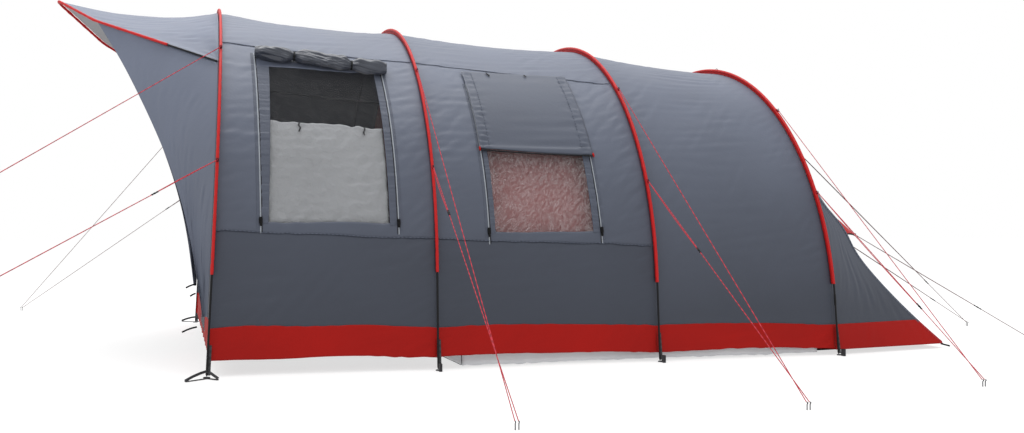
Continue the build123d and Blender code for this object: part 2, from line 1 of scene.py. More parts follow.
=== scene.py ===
import math
import bpy
import numpy as np
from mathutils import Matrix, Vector


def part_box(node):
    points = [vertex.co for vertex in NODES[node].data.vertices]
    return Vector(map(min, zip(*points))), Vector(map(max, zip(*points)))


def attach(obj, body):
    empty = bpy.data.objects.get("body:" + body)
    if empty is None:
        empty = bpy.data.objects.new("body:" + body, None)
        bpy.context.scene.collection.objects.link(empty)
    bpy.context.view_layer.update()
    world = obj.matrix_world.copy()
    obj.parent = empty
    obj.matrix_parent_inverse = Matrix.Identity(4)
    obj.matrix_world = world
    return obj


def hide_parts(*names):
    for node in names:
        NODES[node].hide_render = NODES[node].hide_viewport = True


# A pitched tunnel tent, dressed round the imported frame. Metres. +X runs from the porch to the rear,
# the windows are on the near side at -Y. Every place is worked out from the frame and the hoops below.
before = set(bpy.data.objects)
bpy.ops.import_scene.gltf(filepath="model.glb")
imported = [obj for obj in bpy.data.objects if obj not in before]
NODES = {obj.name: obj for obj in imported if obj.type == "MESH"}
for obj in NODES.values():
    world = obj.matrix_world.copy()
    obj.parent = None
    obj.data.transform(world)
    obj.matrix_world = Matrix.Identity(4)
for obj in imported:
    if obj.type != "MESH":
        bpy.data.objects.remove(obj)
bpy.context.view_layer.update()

# ---- driving dimensions -----------------------------------------------------------------------
INNER_START = 1.300  # from the first hoop's foot line to the inner tent
INNER_SKIN = 0.0025  # how far the inner tent's front stands ahead of that
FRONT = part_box("inner_tent_front")[0].x + INNER_SKIN - INNER_START  # foot line of the first hoop
SIDES = ((-1, "near"), (1, "far"))
HOOP_X = [FRONT + d for d in (0.0, 1.140, 2.380, 3.490)]
HOOP_HEIGHT = [2.100, 2.035, 1.980, 1.880]
HOOP_HALF = [1.600, 1.680, 1.700, 1.740]
HOOP_LEAN = [math.radians(a) for a in (2.8, 0.6, 0.4, -0.5)]
LEG = math.radians(84.8)  # an arch turns this far from its crown, then runs straight to the ground
SLEEVE_LOW = [0.500, 0.502, 0.432, 0.407]  # height at which each sleeve ends
SLEEVE_DEPTH = 0.033  # from a hoop line in to the fly
SADDLE = 0.022  # how much the fly dips between two hoops
CLOTH = 0.0012
HEM = (0.076, -0.0125)  # each seam: its height at the first hoop, and its slope
BAND = (0.234, -0.0175)
LOW_SEAM = (0.713, -0.034)
TOP_SEAM = (1.755, -0.060)
SWAG = 0.011  # how much the hem and the band rise between two feet
WINDOW_X = [(FRONT + 0.300, FRONT + 0.915), (FRONT + 1.480, FRONT + 2.041)]
WINDOW_Z = [(0.760, 1.610), (0.712, 1.560)]
ZIP_X = [(FRONT + 0.262, FRONT + 0.960), (FRONT + 1.444, FRONT + 2.088)]
ZIP_Z = [(0.700, 1.700), (0.645, 1.560)]
RIDGE_Z = 0.950  # top of the rear corner panels
REAR_CORNER = (FRONT + 4.330, 1.600)
REAR_HEM_Z = 0.026
REAR_CORNER_GAP = 0.012
SEAM_GAP = 0.0098


# ---- the hoops' shape -------------------------------------------------------------------------
def arch_radius(half, height):
    c, s = math.cos(LEG), math.sin(LEG)
    return (height * c - half * s) / (c * (1 - c) - s * s)


def arch_point(x, half, height, lean, inset, q):
    """Points at arc length q from the crown, negative on the near side. Everything may be an array."""
    radius = arch_radius(half, height)
    centre, r = height - radius, radius - inset
    angle = np.clip(q / r, -LEG, LEG)
    over = np.maximum(np.abs(q) - LEG * r, 0.0)
    across = r * np.sin(angle) + np.sign(q) * over * math.cos(LEG)
    up = centre + r * np.cos(angle) - over * math.sin(LEG)
    return np.stack(np.broadcast_arrays(x + up * np.sin(lean), across, up * np.cos(lean)), -1)


def arch_length(half, height, lean, inset, z):
    """Arc length from the crown down to height z."""
    radius = arch_radius(half, height)
    centre, r = height - radius, radius - inset
    up = z / np.cos(lean)
    leg = LEG * r + (centre + r * math.cos(LEG) - up) / math.sin(LEG)
    arc = r * np.arccos(np.clip((up - centre) / r, -1, 1))
    return np.where(up <= centre + r * math.cos(LEG), leg, arc)


def shape_at(bay, u):
    """Half width, height, lean, foot x and inset of the fly at share u of a bay."""
    mix = [v[bay] + (v[bay + 1] - v[bay]) * u for v in (HOOP_HALF, HOOP_HEIGHT, HOOP_LEAN, HOOP_X)]
    return mix[0], mix[1], mix[2], mix[3], SLEEVE_DEPTH + SADDLE * 4 * u * (1 - u)


def fly_point(bay, u, q, out=0.0):
    half, height, lean, x, inset = shape_at(bay, u)
    return arch_point(x, half, height, lean, inset - out, q)


def fly_length(bay, u, z):
    half, height, lean, x, inset = shape_at(bay, u)
    return arch_length(half, height, lean, inset, z)


def share_at(bay, x, z):
    """Share u of a bay at a place on its wall, allowing for the hoops' lean."""
    before, after = [HOOP_X[k] + z * math.tan(HOOP_LEAN[k]) for k in (bay, bay + 1)]
    return (x - before) / (after - before)


def plane_z(plane, x):
    return plane[0] + plane[1] * (x - FRONT)


def level(plane, swag=0.0):
    """A function giving a tilted plane's height over a bay."""
    def height(bay, u):
        x = HOOP_X[bay] + (HOOP_X[bay + 1] - HOOP_X[bay]) * u
        return plane_z(plane, x) + swag * 4 * u * (1 - u)
    return height


def hoop_arc(i, inset, q):
    return arch_point(HOOP_X[i], HOOP_HALF[i], HOOP_HEIGHT[i], HOOP_LEAN[i], inset, q)


def hoop_point(i, z, inset=0.0, side=-1):
    return hoop_arc(i, inset, side * arch_length(HOOP_HALF[i], HOOP_HEIGHT[i], HOOP_LEAN[i], inset, z))


def arch_at(i, inset, low_z, share, out):
    """Points on hoop i's arc, share -1 to 1 between its near and far points at low_z."""
    radius = arch_radius(HOOP_HALF[i], HOOP_HEIGHT[i])
    r, centre = radius - inset, HOOP_HEIGHT[i] - radius
    angle = share * math.acos((low_z / math.cos(HOOP_LEAN[i]) - centre) / r)
    up = centre + r * np.cos(angle)
    x = HOOP_X[i] + out + up * math.sin(HOOP_LEAN[i])
    return np.stack([x, r * np.sin(angle), up * math.cos(HOOP_LEAN[i])], -1)


RIDGE_FOOT_Z = 0.024
RIDGE_SAG, RIDGE_TUCK = 0.065, 0.0325  # how far a ridge hangs in, along the tent and across it
MIDDLE_SAG = 0.035  # of the rear panel's middle
HEM_BOW = 0.060  # how far the rear hem bows out between its corners
PULL, PULL_Z, PULL_SPREAD = 0.045, 0.735, 0.130


def rear_ridge(z, side):
    """The line along which the rear panel meets a corner panel."""
    top = hoop_point(3, RIDGE_Z, SLEEVE_DEPTH, side)
    t = (RIDGE_Z - z) / (RIDGE_Z - RIDGE_FOOT_Z)
    dip = 4 * t * (1 - t)
    x0 = top[0] + SEAM_GAP + 0.002
    x = x0 + (REAR_CORNER[0] - x0) * t - RIDGE_SAG * dip + pulled(z)
    y = top[1] + (side * REAR_CORNER[1] - top[1]) * t - side * RIDGE_TUCK * dip
    return np.stack([x, y, z], -1)


def pulled(z):
    """How far a ridge stands out at a height, from the pull of its hood's line."""
    return PULL * np.exp(-((z - PULL_Z) / PULL_SPREAD) ** 2)


def rear_point(a, t, rough=True):
    """The sloping rear panel: a from -1 near to 1 far, t from 0 at the hoop to 1 at the hem."""
    middle = 1 - a * a
    top = arch_at(3, SLEEVE_DEPTH, RIDGE_Z + REAR_CORNER_GAP, a, SEAM_GAP)
    hem = np.stack([REAR_CORNER[0] + HEM_BOW * middle, (REAR_CORNER[1] - REAR_CORNER_GAP) * a,
                    np.full_like(a, REAR_HEM_Z)], -1)
    sag = np.stack([-RIDGE_SAG * a * a - MIDDLE_SAG * middle, -RIDGE_TUCK * a ** 3, -MIDDLE_SAG * middle], -1)
    t = t[..., None]
    waves = 0.0016 * ripple(a * 1.5, t[..., 0] * 1.9, 80, 14, 0.10, 91) * patches(a, t[..., 0], 0.5, 92)
    waves = waves * np.clip(t[..., 0] * 12, 0, 1) * np.clip((1 - np.abs(a)) * 12, 0, 1)
    out = np.array([0.9, 0.0, 0.44])
    flat = top * (1 - t) + hem * t
    bulge = pulled(flat[..., 2]) * a ** 4
    points = flat + sag * 4 * t * (1 - t) + np.stack([bulge, 0 * bulge, 0 * bulge], -1)
    return points + waves[..., None] * out if rough else points


def rear_at(a, z):
    """The rear panel's point at a height, for arrays."""
    a, z = np.broadcast_arrays(np.asarray(a, float), np.asarray(z, float))
    low, high = np.zeros(a.shape), np.ones(a.shape)
    for _ in range(30):
        mid = (low + high) / 2
        over = rear_point(a, mid, rough=False)[..., 2] > z
        low, high = np.where(over, mid, low), np.where(over, high, mid)
    return rear_point(a, low, rough=False)


HOOD_SHARE, HOOD_SPREAD = 0.80, 0.062  # where a hood sits across the rear panel, and half its width
HOOD_TOP, HOOD_LOW, HOOD_REACH = 0.850, 0.690, 0.088
HOOD_RING = 0.0116  # from a hood's tip to the middle of its ring


def hood_tip(side):
    return rear_at(side * HOOD_SHARE, HOOD_LOW) + (HOOD_REACH, 0, 0)


# ---- small waves in the cloth -----------------------------------------------------------------
def ripple(a, b, angle, spread, wavelength, seed, count=9):
    """Smooth waves over the plane (a, b), whose crests run near one angle. About -1 to 1."""
    rng = np.random.default_rng(seed)
    total = np.zeros_like(a + b)
    for _ in range(count):
        turn = math.radians(angle + 90 + rng.uniform(-spread, spread))
        k = 2 * math.pi / (wavelength * rng.uniform(0.65, 1.7))
        total += np.sin(k * (a * math.cos(turn) + b * math.sin(turn)) + rng.uniform(0, 2 * math.pi))
    return total / math.sqrt(count)


def patches(a, b, size, seed):
    """Soft patches between 0 and 1."""
    return 1 / (1 + np.exp(-2.2 * ripple(a, b, 0, 90, size, seed)))


def near_line(distance, width):
    """1 on a line, falling to 0 on both sides of it."""
    return np.exp(-(distance / width) ** 2)


# ---- meshes -----------------------------------------------------------------------------------
def finish_mesh(name, points, faces, uvs, material, node=None, body="root", smooth=True):
    mesh = bpy.data.meshes.new(name)
    mesh.from_pydata([tuple(p) for p in points], [], faces)
    mesh.update()
    layer = mesh.uv_layers.new(name="cloth")
    corner = np.zeros(len(mesh.loops), np.int32)
    mesh.loops.foreach_get("vertex_index", corner)
    layer.data.foreach_set("uv", np.asarray(uvs, np.float32)[corner].ravel())
    mesh.polygons.foreach_set("use_smooth", [smooth] * len(mesh.polygons))
    piece = bpy.data.objects.new(name, mesh)
    bpy.context.scene.collection.objects.link(piece)
    for m in (material if isinstance(material, (list, tuple)) else [material]):
        mesh.materials.append(m)
    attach(piece, body)
    if node:
        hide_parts(*([node] if isinstance(node, str) else node))
    return piece


def grid(name, points, material, node, slot, hole=None, thick=CLOTH, body="root", uv=None, lining=None):
    """A sheet of cloth on a grid of points. hole is True on the cells to leave out."""
    rows, cols = points.shape[:2]
    index = np.arange(rows * cols).reshape(rows, cols)
    quads = np.stack([index[:-1, :-1], index[:-1, 1:], index[1:, 1:], index[1:, :-1]], -1)
    keep = np.ones((rows - 1, cols - 1), bool) if hole is None else ~hole
    if uv is None:
        along = np.cumsum(np.linalg.norm(np.diff(points, axis=1, prepend=points[:, :1]), axis=2), 1)
        down = np.cumsum(np.linalg.norm(np.diff(points, axis=0, prepend=points[:1]), axis=2), 0)
        uv = np.stack([along, down], -1)
    used, faces = np.unique(quads[keep], return_inverse=True)
    flat_points, flat_uv = points.reshape(-1, 3)[used], uv.reshape(-1, 2)[used]
    materials = [material] + ([lining] if lining else [])
    piece = finish_mesh(name, flat_points, faces.reshape(-1, 4).tolist(), flat_uv, materials,
                        node, body)
    solid = piece.modifiers.new("thickness", "SOLIDIFY")
    solid.thickness = thick
    solid.offset = 0.0
    if lining:
        solid.material_offset = 1
    return piece


def cloth(name, points, flat, material, node, slot, hole=None, held="stretched", **looks):
    """A sheet of cloth. flat, the same grid with or without its creases, is not used."""
    piece = grid(name, points, material, node, slot, hole, **looks)


def skin(name, rings, uvs, material, node, body="root", smooth=True):
    """A closed tube of any section: rings of points, one after another, with both ends filled."""
    n, m = rings.shape[:2]
    faces = [(i * m + j, i * m + (j + 1) % m, (i + 1) * m + (j + 1) % m, (i + 1) * m + j)
             for i in range(n - 1) for j in range(m)]
    faces += [tuple(range(m))[::-1], tuple((n - 1) * m + j for j in range(m))]
    uvs = np.stack(np.broadcast_arrays(uvs[0][:, None], uvs[1][None, :]), -1).reshape(-1, 2)
    return finish_mesh(name, rings.reshape(-1, 3), faces, uvs, material, node, body, smooth)


def run_along(points):
    """Length from the first point to each point."""
    return np.concatenate([[0], np.cumsum(np.linalg.norm(np.diff(points, axis=0), axis=1))])


def ribbon(name, centres, normals, width, thick, material, node=None, slot=None, body="root"):
    """A flat strip along a line of points. width and thick may be arrays."""
    centres, normals = np.asarray(centres, float), np.asarray(normals, float)
    normals = np.broadcast_to(normals, centres.shape)
    tangent = np.gradient(centres, axis=0)
    tangent /= np.linalg.norm(tangent, axis=1)[:, None]
    normals = normals - (normals * tangent).sum(1)[:, None] * tangent
    normals /= np.linalg.norm(normals, axis=1)[:, None]
    side = np.cross(tangent, normals)
    half_width = np.broadcast_to(np.asarray(width, float) / 2, len(centres))[:, None]
    half_thick = np.broadcast_to(np.asarray(thick, float) / 2, len(centres))[:, None]
    outline = ((-1, -0.6), (-0.9, 1), (0.9, 1), (1, -0.6), (0.9, -1), (-0.9, -1))
    rings = np.stack([centres + side * half_width * a + normals * half_thick * b for a, b in outline], 1)
    uvs = run_along(centres), np.linspace(0, 1, len(outline)) * float(np.max(width))
    return skin(name, rings, uvs, material, node, body, smooth=False)


def tube_between(name, centres, radii, material, node=None, body="root", sides=10, flatten=1.0):
    """A closed round bar along a line of points, with a radius for each."""
    centres = np.asarray(centres, float)
    tangent = np.gradient(centres, axis=0)
    tangent /= np.linalg.norm(tangent, axis=1)[:, None]
    guide = np.array([0.0, 0.0, 1.0]) if abs(tangent[:, 2]).max() < 0.95 else np.array([1.0, 0.0, 0.0])
    across = np.cross(tangent, guide)
    across /= np.linalg.norm(across, axis=1)[:, None]
    up = np.cross(tangent, across)
    turn = np.linspace(0, 2 * math.pi, sides, endpoint=False)
    radii = np.broadcast_to(np.asarray(radii, float), len(centres))
    points = (centres[:, None] + radii[:, None, None] * (
        across[:, None] * np.cos(turn)[None, :, None] + flatten * up[:, None] * np.sin(turn)[None, :, None]))
    uvs = run_along(centres), turn * radii.mean()
    return skin(name, points, uvs, material, node, body)


# ---- materials --------------------------------------------------------------------------------
def new_material(name):
    material = bpy.data.materials.new(name)
    material.use_nodes = True
    nodes = material.node_tree.nodes
    return material, nodes, material.node_tree.links, nodes["Principled BSDF"]


def add(nodes, kind, **values):
    node = nodes.new(kind)
    for key, value in values.items():
        if key in node.inputs:
            node.inputs[key].default_value = value
        else:
            setattr(node, key, value)
    return node


def tinted(nodes, links, texture, low, high):
    """A texture turned into a colour between two."""
    ramp = nodes.new("ShaderNodeValToRGB")
    for element, color, place in zip(ramp.color_ramp.elements, (low, high), (0.3, 0.7)):
        element.color = (*color, 1)
        element.position = place
    links.new(texture, ramp.inputs["Fac"])
    return ramp.outputs["Color"]


def ranged(nodes, links, value, low, high, start=0.0, end=1.0):
    """A value turned into low at start and high at end."""
    level = nodes.new("ShaderNodeMapRange")
    for key, number in (("From Min", start), ("From Max", end), ("To Min", low), ("To Max", high)):
        level.inputs[key].default_value = number
    links.new(value, level.inputs["Value"])
    return level.outputs["Result"]


def bumped(nodes, links, height, strength, distance, under=None):
    """A bump normal, on top of another where under is given."""
    bump = add(nodes, "ShaderNodeBump", Strength=strength, Distance=distance)
    links.new(height, bump.inputs["Height"])
    if under:
        links.new(under, bump.inputs["Normal"])
    return bump.outputs["Normal"]


def scaled(color, k):
    return tuple(min(1.0, c * k) for c in color)


WEAVE = 45.0  # wave texture scale: a thread about every 7 mm


def fabric(name, color, roughness=0.55, variation=0.06, crease=0.25, sheen=0.05, painted_light_by_height=None, gloss=0.3):
    """Coated tent cloth: a fine weave, soft creases and a little unevenness in its colour.

    The height gradient gives two heights, then how bright the cloth is painted at each: painted light and
    shade, paler high up where the overhead light falls, darker low down.
    """
    material, nodes, links, shader = new_material(name)
    place = nodes.new("ShaderNodeTexCoord")
    soft = add(nodes, "ShaderNodeTexNoise", Scale=2.3, Detail=5.0, Roughness=0.55)
    links.new(place.outputs["Object"], soft.inputs["Vector"])
    low, high = scaled(color, 1 - variation), scaled(color, 1 + variation)
    tint = tinted(nodes, links, soft.outputs["Fac"], low, high)
    # painted light and shade: the colour is scaled with height, brighter towards the top
    if painted_light_by_height:
        split = nodes.new("ShaderNodeSeparateXYZ")
        links.new(place.outputs["Object"], split.inputs["Vector"])
        start, end, dark, light = painted_light_by_height
        pale = add(nodes, "ShaderNodeVectorMath", operation="SCALE")
        links.new(tint, pale.inputs[0])
        links.new(ranged(nodes, links, split.outputs["Z"], dark, light, start, end), pale.inputs["Scale"])
        tint = pale.outputs["Vector"]
    links.new(tint, shader.inputs["Base Color"])
    links.new(ranged(nodes, links, soft.outputs["Fac"], roughness - 0.06, roughness + 0.08),
              shader.inputs["Roughness"])
    fine = add(nodes, "ShaderNodeTexNoise", Scale=34.0, Detail=4.0, Roughness=0.6, Distortion=0.6)
    links.new(place.outputs["Object"], fine.inputs["Vector"])
    folds = bumped(nodes, links, fine.outputs["Fac"], crease, 0.004)
    warp = add(nodes, "ShaderNodeTexWave", Scale=WEAVE, Distortion=0.0)
    weft = add(nodes, "ShaderNodeTexWave", Scale=WEAVE, Distortion=0.0, bands_direction="Y")
    cross = add(nodes, "ShaderNodeMath", operation="MULTIPLY")
    for wave, socket in zip((warp, weft), cross.inputs):
        links.new(place.outputs["UV"], wave.inputs["Vector"])
        links.new(wave.outputs["Fac"], socket)
    links.new(bumped(nodes, links, cross.outputs["Value"], 0.12, 0.0004, folds), shader.inputs["Normal"])
    shader.inputs["Sheen Weight"].default_value = sheen
    shader.inputs["Sheen Roughness"].default_value = 0.4
    shader.inputs["Specular IOR Level"].default_value = gloss
    return material


def metal(name, color, roughness=0.35, metallic=1.0, grain=120.0, gloss=0.15):
    material, nodes, links, shader = new_material(name)
    place = nodes.new("ShaderNodeTexCoord")
    noise = add(nodes, "ShaderNodeTexNoise", Scale=grain, Detail=6.0, Roughness=0.65)
    links.new(place.outputs["Object"], noise.inputs["Vector"])
    spots = noise.outputs["Fac"]
    links.new(tinted(nodes, links, spots, scaled(color, 0.85), scaled(color, 1.15)),
              shader.inputs["Base Color"])
    links.new(ranged(nodes, links, spots, roughness - 0.08, roughness + 0.12), shader.inputs["Roughness"])
    links.new(bumped(nodes, links, spots, 0.15, 0.0003), shader.inputs["Normal"])
    shader.inputs["Metallic"].default_value = metallic
    shader.inputs["Specular IOR Level"].default_value = gloss
    return material


def woven(name, color, ribs=260.0, roughness=0.7):
    """Webbing, cord and zip tape: ribs across the strip."""
    material, nodes, links, shader = new_material(name)
    place = nodes.new("ShaderNodeTexCoord")
    wave = add(nodes, "ShaderNodeTexWave", Scale=ribs / 20.0, Distortion=1.0, Detail=2.0)
    links.new(place.outputs["UV"], wave.inputs["Vector"])
    links.new(tinted(nodes, links, wave.outputs["Fac"], scaled(color, 0.75), scaled(color, 1.2)),
              shader.inputs["Base Color"])
    links.new(bumped(nodes, links, wave.outputs["Fac"], 0.5, 0.0008), shader.inputs["Normal"])
    shader.inputs["Roughness"].default_value = roughness
    shader.inputs["Specular IOR Level"].default_value = 0.15
    return material


def crinkled_film(name, color, alpha, painted_glint, crinkle, slant):
    """Clear flexible window film, wrinkled along one slant, with painted highlights along its wrinkles: pale,
    more opaque lines standing in for glints.
    """
    material, nodes, links, shader = new_material(name)
    place = nodes.new("ShaderNodeTexCoord")
    drawn = add(nodes, "ShaderNodeMapping", vector_type="TEXTURE")
    drawn.inputs["Rotation"].default_value = (0.0, slant, 0.0)
    drawn.inputs["Scale"].default_value = (3.2, 1.0, 0.75)
    links.new(place.outputs["Object"], drawn.inputs["Vector"])
    noise = add(nodes, "ShaderNodeTexNoise", Scale=crinkle, Detail=10.0, Roughness=0.74, Distortion=0.7)
    links.new(drawn.outputs["Vector"], noise.inputs["Vector"])
    folds = noise.outputs["Fac"]
    links.new(tinted(nodes, links, folds, scaled(color, 0.9), scaled(color, 1.1)),
              shader.inputs["Base Color"])
    links.new(bumped(nodes, links, folds, 0.8, 0.012), shader.inputs["Normal"])
    # painted highlight: near each fold's middle the film turns more opaque, so its pale colour shows as a
    # glint
    away = add(nodes, "ShaderNodeMath", operation="SUBTRACT")
    away.inputs[1].default_value = 0.5
    links.new(folds, away.inputs[0])
    size = add(nodes, "ShaderNodeMath", operation="ABSOLUTE")
    links.new(away.outputs["Value"], size.inputs[0])
    links.new(ranged(nodes, links, size.outputs["Value"], alpha + painted_glint, alpha, 0.0, PAINTED_GLINT_WIDTH),
              shader.inputs["Alpha"])
    shader.inputs["Roughness"].default_value = 0.2
    shader.inputs["Coat Weight"].default_value = 0.3
    shader.inputs["Coat Roughness"].default_value = 0.15
    return material


PAINTED_GLINT_WIDTH = 0.016  # how far from a fold's middle value the painted highlight still shows
GREY = (0.071, 0.082, 0.112)
# Each height gradient below is painted light and shade: the cloth is painted paler high up and darker low
# down.
FLY = fabric("fly_cloth_grey", GREY, roughness=0.5, painted_light_by_height=(0.7, 2.0, 0.85, 1.55))
FLAP = fabric("blind_cloth_grey", scaled(GREY, 0.92), roughness=0.5, painted_light_by_height=(0.9, 1.7, 0.85, 1.1))
# The lower walls are the fly's grey cloth at 0.56 of its brightness: painted shade for the darker foot of the
# wall.
LOWER = fabric("lower_wall_grey", scaled(GREY, 0.56), roughness=0.6, painted_light_by_height=(0.2, 0.75, 0.88, 1.15))
BAY3 = fabric("rear_bay_grey", GREY, roughness=0.5, painted_light_by_height=(0.25, 1.9, 0.54, 1.55))
PORCH = fabric("porch_cloth_grey", scaled(GREY, 1.18), roughness=0.55, painted_light_by_height=(0.3, 1.9, 0.75, 1.45))
# The visor's underside is painted pale: painted light for daylight shining through the canopy from above.
UNDERSIDE_GLOW = fabric("porch_underside_painted_light", (0.30, 0.30, 0.31), roughness=0.8)
DARK = fabric("inside_lining_dark", (0.045, 0.049, 0.061), roughness=0.8)
TRIM = fabric("window_trim_grey", scaled(GREY, 0.85), roughness=0.6, crease=0.9)
# The rolled blind is the fly's grey at half its brightness: painted shade for the shadowed bundle.
ROLL = fabric("rolled_blind_painted_shade", scaled(GREY, 0.50), roughness=0.36, crease=0.9, gloss=0.5)
RED = fabric("red_cloth", (0.285, 0.0055, 0.0035), roughness=0.6, variation=0.07, sheen=0.0, gloss=0.12)
RED_SLEEVE = fabric("red_sleeve_cloth", (0.40, 0.008, 0.008), roughness=0.5, crease=0.4, sheen=0.0, gloss=0.2)
INNER = fabric("inner_tent_cloth", (0.20, 0.085, 0.085), roughness=0.85)
BATHTUB = fabric("inner_tent_lower_cloth", (0.62, 0.63, 0.65), roughness=0.7)
CURTAIN = fabric("curtain_cloth", (0.215, 0.222, 0.232), roughness=0.8, crease=1.4)
FLOOR_CLOTH = fabric("groundsheet_cloth", (0.05, 0.055, 0.065), roughness=0.5)
BLACK_POLE = metal("black_pole", (0.008, 0.008, 0.009), roughness=0.4, metallic=0.0)
STEEL = metal("steel", (0.035, 0.035, 0.038), roughness=0.5, metallic=0.6)
PLASTIC = metal("black_plastic", (0.003, 0.003, 0.0035), roughness=0.6, metallic=0.0, grain=400.0)
WEBBING = woven("webbing_black", (0.010, 0.0105, 0.012))
ROPE = woven("rope_red", (0.38, 0.03, 0.045), ribs=500.0)
ROPE_PALE = woven("rope_grey", (0.16, 0.10, 0.10), ribs=500.0)
ZIP_TAPE = woven("zip_tape_grey", (0.26, 0.28, 0.31), ribs=1200.0)
STRAP = woven("strap_grey", (0.045, 0.046, 0.050), ribs=200.0)
TAB = woven("tab_red", (0.30, 0.012, 0.018), ribs=320.0)
STITCH = woven("stitching_grey", (0.074, 0.084, 0.112), ribs=300.0)
# Black strips standing in for shadow: painted shadow under the blind's hem and beside the zips.
SHADOW_STRIP = woven("shadow_strip_black", (0.012, 0.012, 0.014), ribs=300.0)
FILM = crinkled_film("window_film", (0.62, 0.63, 0.64), 0.02, 0.30, 42.0, -0.85)
FILM_CLEAR = crinkled_film("window_film_clear", (0.50, 0.51, 0.52), 0.01, 0.05, 30.0, 0.55)


# ---- camera -----------------------------------------------------------------------------------
FOCAL_SHARE = 1050.0 / 1024.0  # focal length over picture width
CAMERA_PLACE = (FRONT - 0.140, -6.924, 0.724)
CAMERA_TURN = (90.69, 0.0, -17.70)  # degrees


def make_camera():
    data = bpy.data.cameras.new("view")
    data.sensor_width = 36.0
    data.lens = 36.0 * FOCAL_SHARE
    data.clip_end = 200.0
    camera = bpy.data.objects.new("view", data)
    bpy.context.scene.collection.objects.link(camera)
    camera.location = CAMERA_PLACE
    camera.rotation_euler = [math.radians(turn) for turn in CAMERA_TURN]
    bpy.context.scene.camera = camera


make_camera()

# ---- guy lines --------------------------------------------------------------------------------
LINE = 0.004
RING_REACH = 0.0099  # from a ring's middle to where its line starts
RING_OUT = 0.0099  # from a hoop line out to a ring's middle
PEG_TIE = 0.028  # height at which a line meets its peg
PEG_R = 0.0025
# Heights of the rings on each hoop, and each peg from the first hoop's foot line and the middle.
LOW_CLIP = [1.072, 1.053, 0.995, 0.942]
HIGH_CLIP = [1.713, 1.629, 1.569, 1.476]
PEGS = {
    "near": [None, (1.031, 3.315), (2.272, 3.272), (3.401, 2.973)],
    "far": [(-1.450, 3.300), (1.031, 3.315), (2.272, 3.272), (3.401, 2.973)],
}
FRONT_PEGS = ((-2.000, 3.400), (-1.600, 3.550))  # of the high and the low near line
SHARE = [0.173, 0.24, 0.387, 0.665]  # how far down its line each hoop's runner sits
PAIR = 0.007  # two lines pegged at one place have their pegs this far to each side of it
REAR_PEG, HOOD_PEG = (5.490, 0.470), (4.650, 2.100)


def unit(v):
    return v / np.linalg.norm(v)


def make_peg(name, place, run):
    """The head of a wire peg: a stem with its hook bent over towards the tent's side."""
    x, y = place
    ahead = unit(np.array([run[0], run[1], 0.0]))
    stem = [np.array([x, y, z]) for z in (0.0, 0.012, 0.024)]
    hook = [stem[-1] + ahead * 0.006 * math.sin(a) + (0, 0, 0.008 * math.sin(a / 2))
            for a in np.linspace(0.5, math.pi * 0.9, 6)]
    return tube_between(name, stem + hook, 0.0023, STEEL, "guy_pegs", sides=8)


def make_runner(name, centre, run, node, body):
    """Line runner: a waisted plastic bar with thicker ends."""
    steps = np.linspace(-0.023, 0.023, 15)
    centres = [centre + run * s for s in steps]
    radii = 0.0045 + 0.0022 * np.abs(np.cos(np.linspace(0, 2 * math.pi, 15))) ** 2
    radii[0] *= 0.7
    radii[-1] *= 0.7
    return tube_between(name, centres, radii, PLASTIC, node, body, sides=12, flatten=0.6)


def make_line(name, start, place, node, share=None, runner_node="runners_fixed", body="root", red=True):
    """A taut line from a ring to a peg, with its knot, its peg and, on some, a runner and doubled part."""
    tie = np.array([place[0], place[1], PEG_TIE])
    run = unit(tie - start)
    first, last = start + run * RING_REACH, tie - run * (2 * PEG_R + 0.0003)
    length = float(np.linalg.norm(last - first))
    curve = bpy.data.curves.new(name, "CURVE")
    curve.dimensions = "3D"
    spline = curve.splines.new("NURBS")
    route = [first, first + run * 6 * LINE, first + run * length / 2, last - run * 6 * LINE, last]
    spline.points.add(len(route) - 1)
    for point, p in zip(spline.points, route):
        point.co = (*p, 1.0)
    spline.order_u = 3
    spline.use_endpoint_u = True
    curve.bevel_depth = LINE / 2
    curve.bevel_resolution = 3
    rope = ROPE if red else ROPE_PALE
    curve.materials.append(rope)
    cord = bpy.data.objects.new(name, curve)
    bpy.context.scene.collection.objects.link(cord)
    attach(cord, "root")
    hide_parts(node)
    on_it = [make_peg(name.replace("line", "peg"), place, run)]
    knot = [first + run * s for s in (0.001, 0.005, 0.010, 0.015)]
    knot_radii = [0.0018, 0.0036, 0.0034, 0.0018]
    on_it.append(tube_between(name.replace("line", "knot"), knot, knot_radii, rope, None))
    if share:
        middle = first + run * length * share
        on_it.append(make_runner(name.replace("line", "runner"), middle, run, runner_node, body))
        across = unit(np.cross(run, (0, 0, 1.0))) * 0.0055
        start = first + run * 0.006 + across * 0.2
        end = first + run * (length * share - 0.012) + across * 0.6
        bow = [start + (end - start) * k / 24 + across * math.sin(math.pi * k / 24) for k in range(25)]
        strand = name.replace("line", "strand")
        on_it.append(tube_between(strand, bow, LINE / 2, rope, None, sides=8))


